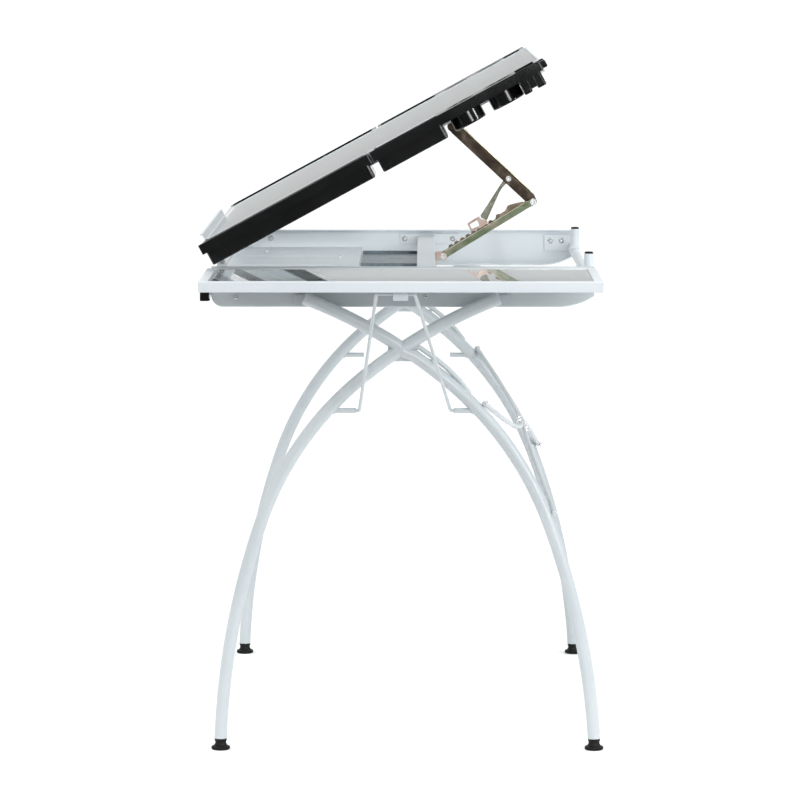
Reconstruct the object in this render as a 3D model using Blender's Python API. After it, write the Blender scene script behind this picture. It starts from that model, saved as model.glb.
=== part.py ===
"""Drafting table: a tilting glass top with lift-off tool trays, a folding glass side shelf and arched legs.

Metres, +Z up. +X runs from the user's edge to the back, +Y across the table to the user's left.
It stands at rest with the top propped on its ratchet support and the side shelf raised.
"""

import math

import bmesh
import bpy
from mathutils import Matrix, Vector

OBJECT_NAME = "drafting_table"

# The table's plan is worked out from the middle of its four feet, then centred on its bounding box.
CENTRE_SHIFT = Vector((0.00792, 0.09485, 0.0))
GAP = 0.0003

# Base: side panels, cross members
PANEL_FRONT_X = -0.3035
PANEL_BACK_X = 0.2926
PANEL_TOP_Z = 0.7596
PANEL_BOTTOM_Z = 0.6970
PANEL_FACE_Y = 0.4265
PANEL_RIM = 0.0140
SHEET = 0.0020
PANEL_CORNER = 0.0180
PANEL_SWEEP = 0.1083
PANEL_SWEEP_ANGLE = math.radians(32.4)
PANEL_SWEEP_X = PANEL_BACK_X - PANEL_SWEEP * math.sin(PANEL_SWEEP_ANGLE)
PANEL_INSIDE_Y = PANEL_FACE_Y - SHEET
RIM_INSIDE_Y = PANEL_FACE_Y - PANEL_RIM

PAN_FRONT_X = -0.2985
PAN_BACK_X = -0.0800
PAN_TOP_Z = 0.7296
PAN_SHEET = 0.0015
PAN_FLANGE = 0.0120

RAIL_FRONT_X = 0.0165
RAIL_BACK_X = 0.0465
RAIL_TOP_Z = 0.7495
RAIL_HEIGHT = 0.0250
RAIL_PLATE_X = (-0.0144, 0.0900)
RAIL_PLATE_Z = (0.7347, 0.7524)

STEEL_PLATE_X = (-0.0785, 0.0160)
STEEL_PLATE_Y = (0.0410, 0.3350)
STEEL_PLATE_TOP_Z = 0.7290
STEEL_PLATE_LIP = 0.0065

BACK_TUBE_X = 0.2895
BACK_TUBE_Z = 0.7294
BACK_TUBE_R = 0.0080
BACK_PLATE_X = (0.2403, 0.2975)
BACK_PLATE_Z = (0.7220, 0.7507)
POST_Y = 0.2880
POST_R = 0.0077
POST_TOP_Z = 0.7705
POST_CAP_R = 0.0068
POST_CAP_TOP_Z = 0.7737

FRONT_TUBE_X = (-0.3205, -0.3060)
FRONT_TUBE_Z = (0.7075, 0.7220)
FRONT_TUBE_Y = 0.4400
FRONT_CAP = 0.0030

# Legs: each is three arcs, (length, turn in degrees), from the foot upwards
LEG_Y = 0.4370
LEG_R = 0.0100
LEG_FOOT_X = 0.2935
LEG_FOOT_Z = 0.0180
LEG_START_ANGLE = 87.0
LEG_ARCS = ((0.3514, -16.8), (0.2740, -30.5), (0.2570, -18.8))
LEG_ARC_STEPS = (4, 6, 4)
LEG_SHIFT = 0.0020
LEG_LEAN = 0.0125
LEG_PLATE = (0.0300, 0.0170)
GUSSET_HALF = (0.0230, 0.0160)
GUSSET_SHEET = 0.0030
WEB_ROD_R = 0.0040
WEB_ROD_PATH = ((0.5560, 0.0080), (0.5900, 0.0155), (0.6220, 0.0160))
SOCKET_R = 0.0042
SOCKET_BORE_R = 0.0031
SOCKET_END_X = 0.0765
SOCKET_DEPTH = 0.0150

BRACE_R = 0.0040
BRACE_STEPS = 12
BRACE_MEETS = Vector((0.1914, 0.0, 0.4636))
BRACE_END_Z = (0.5385, 0.3705)
BRACE_BOLT_Y = 0.0200
BRACE_BOLT_R = 0.0022

LEVELER_PAD_R = 0.0140
LEVELER_PAD_HEIGHT = 0.0060
LEVELER_COLLAR_R = 0.0095
LEVELER_STEM_R = 0.0040
LEVELER_STEM_TOP = 0.0400
LEG_BORE_R = 0.0045
LEG_BORE_TOP = 0.0430

# Tilting top, in its own frame: X back from the pivot, Z up from it
TILT = math.radians(28.53)
TILT_PIVOT = Vector((-0.2890, 0.0, 0.7660))
TOP_FRONT = -0.0073
TOP_LENGTH = 0.5930
TOP_BACK = TOP_FRONT + TOP_LENGTH
TOP_HALF_WIDTH = 0.3920
TOP_UNDER = 0.0080
TOP_RAIL_UNDER = 0.0190
TOP_REST_X = 0.5775
TOP_SURFACE = 0.0408
TOP_RAIL_WIDTH = 0.0240
GLASS_LIP = 0.0030
GLASS_THICK = 0.0050
CROSS_BAR_X = (0.1900, 0.4530)
CROSS_BAR_WIDTH = 0.0260
CROSS_BAR_TOP = 0.0305
PIVOT_PIN_R = 0.0030
PIVOT_EYE_R = 0.0063
PIVOT_HOLE_R = 0.0034
EAR_Y = (0.3820, 0.3850)
PIVOT_BRACKET_Y = (0.3855, 0.3885)

LEDGE_Y = (-0.3650, 0.2450)
LEDGE_SHEET = 0.0018
LEDGE_BOTTOM = 0.0150
LEDGE_RISE = 0.0108

TRAY_INNER_Y = 0.3925
TRAY_OUTER_Y = 0.5200
TRAY_RISE = 0.0025
TRAY_DEPTH = 0.0378
TRAY_SKIRT = 0.0160
TRAY_INSET = 0.0060
TRAY_WALL = 0.0020
TRAY_INNER_DROP = 0.0045
FAR_DROP = 0.0030
TRAY_TOP = TOP_SURFACE + TRAY_RISE
TRAY_FLOOR = TRAY_TOP - TRAY_DEPTH
FRONT_TRAY_X = (-0.0105, 0.2852)
BACK_TRAY_X = (0.2882, 0.5825)
FRONT_DIVIDER_X = 0.1800
BOX_CELL_X = (0.2937, 0.4061)
CUPS = ((0.4462, 0.0263), (0.5125, 0.0268))
PEN_BLOCK_X = (0.5402, 0.5757)
PEN_COLUMNS_X = ((0.5402, 0.5520), (0.5628, 0.5757))
PEN_STEP = 0.0039

# Ratchet support: lower arm from the mid rail, upper arm to the top, strut between them
ARM_PIVOT = Vector((0.0596, 0.0, 0.7449))
ELBOW = Vector((0.2084, 0.0, 0.8356))
HANGER = Vector((0.0743, 0.0, 0.9596))
HANGER_IN_TOP = Vector((0.4116, 0.0, -0.0035))
HANGER_WEB_Z = (0.0085, 0.0280)
ARM_SHEET = 0.0018
LOWER_ARM_HALF = 0.0130
LOWER_ARM_Z = (-0.0050, 0.0058)
UPPER_ARM_HALF = 0.0086
UPPER_ARM_Z = (-0.0098, 0.0083)
ARM_PIN_R = 0.0029
ARM_HOLE_R = 0.0033
STRUT_PIVOT_ALONG = 0.0556
STRUT_LENGTH = 0.0751
STRUT_ANGLE = math.radians(242.1)
STRUT_HALF = 0.0045
STRUT_EYE_R = 0.0047
CLIP_HALF = 0.0062
RACK_Y = (0.0091, 0.0109)
TOOTH_PITCH = 0.0116
TOOTH_COUNT = 8

# Side shelf and its stay
SHELF_X = (-0.3087, 0.2943)
SHELF_Y = (-0.7097, -0.4505)
SHELF_Z = (0.7435, 0.7596)
SHELF_RAIL = 0.0186
SHELF_REBATE = 0.0046
SHELF_GLASS = 0.0040
SHELF_AXIS = Vector((0.0, -0.4440, 0.7385))
SHELF_HINGES_X = (-0.2200, 0.2100)
HINGE_SHEET = 0.0030
HINGE_EYE_R = 0.0055
HINGE_PIN_R = 0.0022
HINGE_HOLE_R = 0.0026
STAY_PIVOT = Vector((0.0, -LEG_Y, 0.5360))
STAY_ANGLE = math.radians(50.31)
STAY_LENGTH = 0.3184
STAY_R = 0.0026
STAY_FOOT_X = 0.0710
STAY_BAR_X = (-0.0436, 0.0138)
STAY_CORNER = 0.0045

COLOURS = {
    "white_paint": ((0.80, 0.83, 0.85, 1.0), 0.35, 0.0),
    "clear_glass": ((0.78, 0.86, 0.85, 0.35), 0.04, 0.0),
    "black_tray_plastic": ((0.010, 0.010, 0.011, 1.0), 0.28, 0.0),
    "black_foot_plastic": ((0.012, 0.012, 0.013, 1.0), 0.55, 0.0),
    "galvanised_steel": ((0.45, 0.50, 0.52, 1.0), 0.40, 0.9),
    "yellow_zinc": ((0.33, 0.30, 0.15, 1.0), 0.35, 0.9),
    "brown_zinc": ((0.20, 0.16, 0.10, 1.0), 0.38, 0.9),
    "copper_zinc": ((0.50, 0.32, 0.26, 1.0), 0.35, 0.9),
    "bright_steel": ((0.62, 0.63, 0.64, 1.0), 0.25, 1.0),
}


def clear_scene():
    for obj in list(bpy.data.objects):
        bpy.data.objects.remove(obj, do_unlink=True)


def new_collection(name):
    collection = bpy.data.collections.new(name)
    bpy.context.scene.collection.children.link(collection)
    return collection


def new_material(name):
    colour, roughness, metallic = COLOURS[name]
    material = bpy.data.materials.new(name)
    material.use_nodes = True
    shader = material.node_tree.nodes["Principled BSDF"]
    shader.inputs["Base Color"].default_value = colour
    shader.inputs["Roughness"].default_value = roughness
    shader.inputs["Metallic"].default_value = metallic
    if name == "clear_glass":
        shader.inputs["Transmission Weight"].default_value = 0.9
    return material


clear_scene()
PARTS = new_collection(OBJECT_NAME)
CUTTERS = new_collection("cutters")
CUTTERS.hide_render = True
MATERIALS = {name: new_material(name) for name in COLOURS}


# Shapes: each is a mesh object in the cutters collection until add_part makes it a sub-part.


def shape_from_mesh(mesh):
    shape = bpy.data.objects.new("shape", mesh)
    shape.hide_render = True
    shape.display_type = "WIRE"
    CUTTERS.objects.link(shape)
    return shape


def shape_from_bmesh(bm):
    mesh = bpy.data.meshes.new("shape")
    bm.to_mesh(mesh)
    bm.free()
    return shape_from_mesh(mesh)


def box(x, y, z):
    low = Vector((min(x), min(y), min(z)))
    high = Vector((max(x), max(y), max(z)))
    scale = Matrix.Diagonal((*(high - low), 1.0))
    bm = bmesh.new()
    bmesh.ops.create_cube(bm, size=1.0, matrix=Matrix.Translation((low + high) / 2) @ scale)
    return shape_from_bmesh(bm)


def rod(start, end, radius, sides=20):
    start = Vector(start)
    end = Vector(end)
    turn = (end - start).to_track_quat("Z", "Y").to_matrix().to_4x4()
    bm = bmesh.new()
    bmesh.ops.create_cone(
        bm,
        cap_ends=True,
        segments=sides,
        radius1=radius,
        radius2=radius,
        depth=(end - start).length,
        matrix=Matrix.Translation((start + end) / 2) @ turn,
    )
    return shape_from_bmesh(bm)


def rod_y(x, z, y, radius, sides=20):
    return rod((x, y[0], z), (x, y[1], z), radius, sides)


def weld(mesh):
    bm = bmesh.new()
    bm.from_mesh(mesh)
    bmesh.ops.remove_doubles(bm, verts=bm.verts, dist=1e-6)
    bmesh.ops.dissolve_degenerate(bm, edges=bm.edges, dist=1e-6)
    bm.to_mesh(mesh)
    bm.free()


def mesh_of_curve(curve):
    obj = bpy.data.objects.new("curve", curve)
    CUTTERS.objects.link(obj)
    graph = bpy.context.evaluated_depsgraph_get()
    mesh = bpy.data.meshes.new_from_object(obj.evaluated_get(graph))
    bpy.data.objects.remove(obj, do_unlink=True)
    bm = bmesh.new()
    bm.from_mesh(mesh)
    bmesh.ops.remove_doubles(bm, verts=bm.verts, dist=1e-6)
    bmesh.ops.recalc_face_normals(bm, faces=bm.faces)
    bm.to_mesh(mesh)
    bm.free()
    return mesh


def poly_curve(points, cyclic):
    curve = bpy.data.curves.new("curve", "CURVE")
    spline = curve.splines.new("POLY")
    spline.points.add(len(points) - 1)
    for point, place in zip(spline.points, points):
        point.co = (*place, 1.0)
    spline.use_cyclic_u = cyclic
    return curve


def tube(points, radius, resolution=2):
    curve = poly_curve(points, False)
    curve.dimensions = "3D"
    curve.bevel_depth = radius
    curve.bevel_resolution = resolution
    curve.use_fill_caps = True
    return shape_from_mesh(mesh_of_curve(curve))


def standing_plate(outline, span):
    """A flat outline of (x, z) points, filled between two places in Y."""
    curve = poly_curve([(x, z, 0.0) for x, z in outline], True)
    curve.dimensions = "2D"
    curve.fill_mode = "BOTH"
    curve.extrude = abs(span[1] - span[0]) / 2
    mesh = mesh_of_curve(curve)
    stand_up = Matrix.Rotation(math.radians(90), 4, "X")
    mesh.transform(Matrix.Translation((0.0, (span[0] + span[1]) / 2, 0.0)) @ stand_up)
    return mesh


def plate_xz(outline, y):
    return shape_from_mesh(standing_plate(outline, y))


def plate_yz(outline, x):
    mesh = standing_plate(outline, (-x[0], -x[1]))
    mesh.transform(Matrix.Rotation(math.radians(90), 4, "Z"))
    return shape_from_mesh(mesh)


def arc(centre, radius, start, end, steps):
    angles = [start + (end - start) * i / steps for i in range(steps + 1)]
    return [(centre[0] + radius * math.cos(a), centre[1] + radius * math.sin(a)) for a in angles]


def tongue(centre, radius, root, steps=8):
    """Outline of a strip with a round end about the centre, running straight up or down to its root."""
    x, z = centre
    turn = math.pi if root < z else -math.pi
    return arc(centre, radius, 0.0, turn, steps) + [(x - radius, root), (x + radius, root)]


def combine(shape, operation, others):
    for other in others:
        modifier = shape.modifiers.new("cut", "BOOLEAN")
        modifier.operation = operation
        modifier.solver = "EXACT"
        modifier.object = other
    graph = bpy.context.evaluated_depsgraph_get()
    mesh = bpy.data.meshes.new_from_object(shape.evaluated_get(graph))
    shape.modifiers.clear()
    shape.data = mesh
    weld(mesh)
    for other in others:
        bpy.data.objects.remove(other, do_unlink=True)
    return shape


def join(shape, *others):
    return combine(shape, "UNION", others)


def cut(shape, *others):
    return combine(shape, "DIFFERENCE", others)


def add_part(shape, name, material, body):
    shape.name = name
    shape.data.name = name
    shape.data.materials.clear()
    shape.data.materials.append(MATERIALS[material])
    shape.hide_render = False
    shape.display_type = "TEXTURED"
    CUTTERS.objects.unlink(shape)
    PARTS.objects.link(shape)
    shape.parent = body
    return shape


def add_body(name, parent, location, rotation_y=0.0, rotation_x=0.0):
    """An empty on a moving piece's joint axis; its parts are modelled about it."""
    empty = bpy.data.objects.new(name, None)
    empty.empty_display_size = 0.03
    empty.location = location
    empty.rotation_euler = (rotation_x, rotation_y, 0.0)
    empty.parent = parent
    PARTS.objects.link(empty)
    return empty


def side_panel_outline(inset, back_x):
    corner = (PANEL_FRONT_X + PANEL_CORNER, PANEL_BOTTOM_Z + PANEL_CORNER)
    sweep = (PANEL_SWEEP_X, PANEL_BOTTOM_Z + PANEL_SWEEP)
    down = math.radians(270)
    top = PANEL_TOP_Z - inset
    outline = arc(corner, PANEL_CORNER - inset, math.radians(180), down, 5)
    outline += arc(sweep, PANEL_SWEEP - inset, down, down + PANEL_SWEEP_ANGLE, 6)
    if back_x > PANEL_BACK_X:
        outline.append((back_x, outline[-1][1]))
    return outline + [(back_x, top), (PANEL_FRONT_X + inset, top)]


def shelf_lug(x, name, base):
    """The base's half of a shelf hinge on the near panel, with its pin pointing to +X."""
    y, z = SHELF_AXIS.y, SHELF_AXIS.z
    face = -PANEL_FACE_Y - GAP
    root = face - 0.0005
    outline = arc((y, z), HINGE_EYE_R, math.radians(90), math.radians(270), 8)
    outline += [(root, z - HINGE_EYE_R), (root, z + HINGE_EYE_R)]
    pin_end = x + 2 * HINGE_SHEET + 0.0030
    flange = box((x - 0.0080, x + 0.0110), (face, face - 0.0015), (z - 0.0085, z + 0.0075))
    pin = rod((x + 0.001, y, z), (pin_end, y, z), HINGE_PIN_R, 12)
    add_part(join(flange, plate_yz(outline, (x, x + HINGE_SHEET)), pin), name, "white_paint", base)


def side_panel(side, base):
    """A pressed sheet panel with its rim turned in, open at the back end."""
    faces = (side * PANEL_FACE_Y, side * RIM_INSIDE_Y)
    pocket = (side * PANEL_INSIDE_Y, side * (RIM_INSIDE_Y - 0.01))
    panel = plate_xz(side_panel_outline(0.0, PANEL_BACK_X), faces)
    panel = cut(panel, plate_xz(side_panel_outline(SHEET, PANEL_BACK_X + 0.02), pocket))
    name = "side_panel_near" if side < 0 else "side_panel_far"
    add_part(panel, name, "white_paint", base)


def floor_pan(base):
    y = (-RIM_INSIDE_Y + 0.0005, RIM_INSIDE_Y - 0.0005)
    block = box((PAN_FRONT_X, PAN_BACK_X), y, (PAN_TOP_Z - PAN_FLANGE, PAN_TOP_Z))
    under = (PAN_TOP_Z - PAN_FLANGE - 0.01, PAN_TOP_Z - PAN_SHEET)
    hollow = box((PAN_FRONT_X + PAN_SHEET, PAN_BACK_X - PAN_SHEET), (-PANEL_FACE_Y, PANEL_FACE_Y), under)
    add_part(cut(block, hollow), "floor_pan", "white_paint", base)


def steel_plate(base):
    bottom = STEEL_PLATE_TOP_Z - STEEL_PLATE_LIP
    block = box(STEEL_PLATE_X, STEEL_PLATE_Y, (bottom, STEEL_PLATE_TOP_Z))
    low_y, high_y = STEEL_PLATE_Y
    hollow = box((-0.2, 0.2), (low_y + PAN_SHEET, high_y - PAN_SHEET), (bottom + PAN_SHEET, PANEL_TOP_Z))
    add_part(cut(block, hollow), "steel_plate", "galvanised_steel", base)


def end_plate(side, x, z):
    return box(x, (side * (PANEL_INSIDE_Y - GAP), side * (PANEL_INSIDE_Y - GAP - SHEET)), z)


def mid_rail(base):
    y = PANEL_INSIDE_Y - GAP - 0.001
    rail = box((RAIL_FRONT_X, RAIL_BACK_X), (-y, y), (RAIL_TOP_Z - RAIL_HEIGHT, RAIL_TOP_Z))
    plates = [end_plate(side, RAIL_PLATE_X, RAIL_PLATE_Z) for side in (-1, 1)]
    add_part(join(rail, *plates), "mid_rail", "white_paint", base)


def back_tube(base):
    y = PANEL_INSIDE_Y - GAP - 0.001
    cross = rod_y(BACK_TUBE_X, BACK_TUBE_Z, (-y, y), BACK_TUBE_R)
    plates = [end_plate(side, BACK_PLATE_X, BACK_PLATE_Z) for side in (-1, 1)]
    posts = [
        rod((BACK_TUBE_X, side * POST_Y, BACK_TUBE_Z), (BACK_TUBE_X, side * POST_Y, POST_TOP_Z), POST_R)
        for side in (-1, 1)
    ]
    add_part(join(cross, *plates, *posts), "back_tube", "white_paint", base)
    for side, name in ((-1, "post_cap_near"), (1, "post_cap_far")):
        low = (BACK_TUBE_X, side * POST_Y, POST_TOP_Z + GAP)
        high = (BACK_TUBE_X, side * POST_Y, POST_CAP_TOP_Z)
        add_part(rod(low, high, POST_CAP_R), name, "black_foot_plastic", base)


def front_tube(base):
    bar = box(FRONT_TUBE_X, (-FRONT_TUBE_Y, FRONT_TUBE_Y), FRONT_TUBE_Z)
    tab_x = (FRONT_TUBE_X[1] - 0.001, PANEL_FRONT_X - GAP)
    tabs = [box(tab_x, (side * 0.4135, side * 0.4255), (0.7150, 0.7210)) for side in (-1, 1)]
    add_part(join(bar, *tabs), "front_tube", "white_paint", base)
    for side, name in ((-1, "front_tube_cap_near"), (1, "front_tube_cap_far")):
        start = side * (FRONT_TUBE_Y + GAP)
        cap = box(FRONT_TUBE_X, (start, start + side * FRONT_CAP), FRONT_TUBE_Z)
        add_part(cap, name, "black_foot_plastic", base)


# Legs


def leg_line():
    """Points and directions up one leg, with X outwards from the pair's middle, without the lean."""
    x, z = LEG_FOOT_X, LEG_FOOT_Z
    angle = math.radians(LEG_START_ANGLE)
    line = [(x, z, angle)]
    for (length, turn), steps in zip(LEG_ARCS, LEG_ARC_STEPS):
        step = length / steps
        turn_step = math.radians(turn) / steps
        for _ in range(steps):
            x -= step * math.cos(angle + turn_step / 2)
            z += step * math.sin(angle + turn_step / 2)
            angle += turn_step
            line.append((x, z, angle))
    return line


def leg_place(x, z, side_x, y):
    return Vector((side_x * x + LEG_SHIFT - LEG_LEAN * z, y, z))


def leg_points(side_x, y):
    return [leg_place(x, z, side_x, y) for x, z, _ in leg_line()]


def leg_at_height(height):
    """Middle of the leg and its outward normal, (x, z) each, at a height."""
    line = leg_line()
    for (x0, z0, a0), (x1, z1, a1) in zip(line, line[1:]):
        if z0 <= height <= z1:
            part = (height - z0) / (z1 - z0)
            angle = a0 + part * (a1 - a0)
            return x0 + part * (x1 - x0), (math.sin(angle), math.cos(angle))
    raise ValueError(height)


def crossing_point(y):
    line = leg_line()
    for (x0, z0, _), (x1, z1, _) in zip(line, line[1:]):
        if x0 >= 0 >= x1:
            z = z0 + (z1 - z0) * x0 / (x0 - x1)
            return leg_place(0.0, z, 1, y)
    raise ValueError("the legs never cross")


def gusset_shape(y, grow):
    middle = crossing_point(y)
    half_x = GUSSET_HALF[0] + grow
    half_z = GUSSET_HALF[1] + grow
    corner = 0.0080
    outline = []
    for x, z in ((1, 1), (-1, 1), (-1, -1), (1, -1)):
        ends = [(x * half_x, z * (half_z - corner)), (x * (half_x - corner), z * half_z)]
        outline += ends if x * z > 0 else ends[::-1]
    half_sheet = GUSSET_SHEET / 2 + grow
    return plate_xz([(middle.x + x, middle.z + z) for x, z in outline], (y - half_sheet, y + half_sheet))


def leg_end_plate(side_x, y):
    """The small flat that bolts the leg's upper end to the side panel."""
    x, z, _ = leg_line()[-1]
    place = leg_place(x, z, side_x, y)
    inner = math.copysign(PANEL_FACE_Y + GAP, y)
    outer = math.copysign(PANEL_FACE_Y + 0.0060, y)
    half_x = LEG_PLATE[0] / 2
    plate_z = (place.z - LEG_PLATE[1] / 2, place.z + 0.0050)
    return box((place.x - half_x, place.x + half_x), (inner, outer), plate_z)


def socket_shapes(side_x, y):
    x, _ = leg_at_height(STAY_PIVOT.z)
    leg_x = leg_place(x, STAY_PIVOT.z, side_x, y).x
    end = (side_x * SOCKET_END_X + LEG_SHIFT - 0.004, y, STAY_PIVOT.z)
    deep = (end[0] + side_x * SOCKET_DEPTH, y, STAY_PIVOT.z)
    beyond = (end[0] - side_x * 0.005, y, STAY_PIVOT.z)
    return rod(end, (leg_x, y, STAY_PIVOT.z), SOCKET_R, 16), rod(beyond, deep, SOCKET_BORE_R, 16)


def leg_bore(side_x, y):
    x = leg_place(LEG_FOOT_X, LEG_FOOT_Z, side_x, y).x
    return rod((x, y, 0.0), (x, y, LEG_BORE_TOP), LEG_BORE_R, 16)


def web_rod(side_x, y):
    """A short welded rod on the leg's outer curve below the crossing."""
    places = []
    for height, out in WEB_ROD_PATH:
        x, normal = leg_at_height(height)
        places.append(leg_place(x + out * normal[0], height + out * normal[1], side_x, y))
    last = places[-1]
    return tube(places + [last + Vector((-side_x * 0.022, 0.0, -0.004))], WEB_ROD_R)


def leg_pair(side, base):
    """Two crossed legs: the one with the front foot is whole, the other is cut where they meet."""
    y = side * LEG_Y
    where = "near" if side < 0 else "far"
    whole = tube(leg_points(-1, y), LEG_R, 4)
    socket, bore = socket_shapes(-1, y)
    whole = join(whole, gusset_shape(y, 0.0), leg_end_plate(-1, y), socket)
    whole = cut(whole, bore, leg_bore(-1, y))
    add_part(whole, f"leg_{where}_front", "white_paint", base)

    points = leg_points(1, y)
    middle = crossing_point(y)
    lower_points = [p for p in points if p.z < middle.z - 0.002] + [middle]
    upper_points = [middle] + [p for p in points if p.z > middle.z + 0.002]
    socket, bore = socket_shapes(1, y)
    lower = join(tube(lower_points, LEG_R, 4), socket, web_rod(1, y))
    lower = cut(lower, tube(leg_points(-1, y), LEG_R + GAP, 4), gusset_shape(y, GAP), bore, leg_bore(1, y))
    add_part(lower, f"leg_{where}_back", "white_paint", base)
    upper = join(tube(upper_points, LEG_R, 4), leg_end_plate(1, y))
    upper = cut(upper, tube(leg_points(-1, y), LEG_R + GAP, 4), gusset_shape(y, GAP))
    add_part(upper, f"leg_{where}_back_upper", "white_paint", base)


def leveler(side_x, y, name, base):
    x = leg_place(LEG_FOOT_X, LEG_FOOT_Z, side_x, y).x
    body = add_body(f"{name}_axis", base, (x, y, 0.0))
    pad = rod((0, 0, 0), (0, 0, LEVELER_PAD_HEIGHT), LEVELER_PAD_R, 24)
    collar = rod((0, 0, 0.001), (0, 0, LEG_FOOT_Z - 0.001), LEVELER_COLLAR_R, 20)
    stem = rod((0, 0, 0.001), (0, 0, LEVELER_STEM_TOP), LEVELER_STEM_R, 12)
    add_part(join(pad, collar, stem), name, "black_foot_plastic", body)


def brace_end(height):
    """Where a brace rod touches the outer curve of the far back leg."""
    x, normal = leg_at_height(height)
    out = LEG_R + BRACE_R + GAP
    return leg_place(x + out * normal[0], height + out * normal[1], 1, LEG_Y)


def brace_bolt_axis():
    axis = brace_end(BRACE_END_Z[0]) - brace_end(BRACE_END_Z[1])
    axis.y = 0.0
    return axis.normalized()


def brace(end_height, side_of_middle, name, base):
    """A rod bowed from the outer curve of one back leg to the other, meeting its twin in the middle."""
    end = brace_end(end_height)
    axis = brace_bolt_axis()
    middle = BRACE_MEETS + axis * side_of_middle * (BRACE_R + GAP)
    points = []
    for i in range(-BRACE_STEPS, BRACE_STEPS + 1):
        part = i / BRACE_STEPS
        place = middle.lerp(Vector((end.x, 0.0, end.z)), part * part)
        place.y = part * (LEG_Y + 0.006)
        points.append(place)
    shape = tube(points, BRACE_R, 2)
    holes = []
    for side in (-1, 1):
        bolt = BRACE_MEETS + Vector((0, side * BRACE_BOLT_Y, 0))
        holes.append(rod(bolt - axis * 0.02, bolt + axis * 0.02, BRACE_BOLT_R + GAP, 12))
    add_part(cut(shape, *holes), name, "white_paint", base)


def brace_bolts(base):
    axis = brace_bolt_axis()
    for side, name in ((-1, "brace_bolt_near"), (1, "brace_bolt_far")):
        middle = BRACE_MEETS + Vector((0, side * BRACE_BOLT_Y, 0))
        reach = 2 * BRACE_R + 3 * GAP
        shank = rod(middle - axis * (reach + 0.004), middle + axis * (reach + 0.003), BRACE_BOLT_R, 12)
        head = rod(middle + axis * (reach + GAP), middle + axis * (reach + 0.0035), 0.0042, 16)
        nut = rod(middle - axis * (reach + GAP), middle - axis * (reach + 0.0037), 0.0044, 6)
        add_part(join(shank, head, nut), name, "bright_steel", base)


# Tilting top


def pivot_bracket(side, base):
    """Stands inside the side panel and holds the top's pivot pin."""
    inner, outer = PIVOT_BRACKET_Y
    x = (TILT_PIVOT.x - 0.0100, TILT_PIVOT.x + 0.0100)
    wall = side * (PANEL_INSIDE_Y - GAP)
    foot_z = (0.7365, 0.7390)
    foot = box(x, (wall, side * inner), foot_z)
    flange_y = (wall - side * 0.0001, wall - side * SHEET)
    flange = box((x[0] + 0.0002, x[1] - 0.0002), flange_y, (0.7370, 0.7550))
    outline = tongue((TILT_PIVOT.x, TILT_PIVOT.z), PIVOT_EYE_R, foot_z[0] + 0.0005)
    upright = plate_xz(outline, (side * (inner + 0.0001), side * outer))
    pin_y = (side * (EAR_Y[0] - 0.003), side * (outer + 0.001))
    pin = rod_y(TILT_PIVOT.x, TILT_PIVOT.z, pin_y, PIVOT_PIN_R, 16)
    head = rod_y(TILT_PIVOT.x, TILT_PIVOT.z, (side * outer, side * (outer + 0.003)), 0.0050, 16)
    name = "pivot_bracket_near" if side < 0 else "pivot_bracket_far"
    add_part(join(foot, flange, upright, pin, head), name, "white_paint", base)


def top_rails(top):
    rebate_floor = TOP_SURFACE - GLASS_THICK - 0.0005
    under_to_top = (TOP_RAIL_UNDER, TOP_SURFACE)
    rebate_z = (rebate_floor, TOP_SURFACE + 0.01)
    rebate_x = (TOP_FRONT + GLASS_LIP, TOP_BACK - GLASS_LIP)
    rebate_y = TOP_HALF_WIDTH - GLASS_LIP
    inner_y = TOP_HALF_WIDTH - TOP_RAIL_WIDTH
    for side, name in ((-1, "top_rail_near"), (1, "top_rail_far")):
        rail = box((TOP_FRONT, TOP_BACK), (side * inner_y, side * TOP_HALF_WIDTH), under_to_top)
        ear_y = (side * EAR_Y[0], side * EAR_Y[1])
        rail = join(rail, plate_xz(tongue((0.0, 0.0), PIVOT_EYE_R, TOP_RAIL_UNDER + 0.002), ear_y))
        hole = rod_y(0.0, 0.0, (side * 0.370, side * 0.400), PIVOT_HOLE_R, 16)
        rebate = box(rebate_x, (-rebate_y, rebate_y), rebate_z)
        add_part(cut(rail, hole, rebate), name, "white_paint", top)
    between_y = inner_y - GAP
    spans = (
        ("top_rail_front", (TOP_FRONT, TOP_FRONT + TOP_RAIL_WIDTH)),
        ("top_rail_back", (TOP_BACK - TOP_RAIL_WIDTH, TOP_BACK)),
    )
    for name, x in spans:
        rail = box(x, (-between_y, between_y), under_to_top)
        if name == "top_rail_back":
            rest_y = (-between_y + 0.0002, between_y - 0.0002)
            rest = box((x[0] + 0.0002, TOP_REST_X), rest_y, (TOP_UNDER, TOP_RAIL_UNDER + 0.002))
            rail = join(rail, rest)
        add_part(cut(rail, box(rebate_x, (-rebate_y, rebate_y), rebate_z)), name, "white_paint", top)
    for x, name in zip(CROSS_BAR_X, ("cross_bar_front", "cross_bar_back")):
        half = CROSS_BAR_WIDTH / 2
        bar = box((x - half, x + half), (-between_y, between_y), (TOP_UNDER, CROSS_BAR_TOP))
        add_part(bar, name, "white_paint", top)
    glass = box(
        (TOP_FRONT + GLASS_LIP + GAP, TOP_BACK - GLASS_LIP - GAP),
        (-rebate_y + GAP, rebate_y - GAP),
        (rebate_floor + GAP, rebate_floor + GAP + GLASS_THICK),
    )
    add_part(glass, "top_glass", "clear_glass", top)


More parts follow.
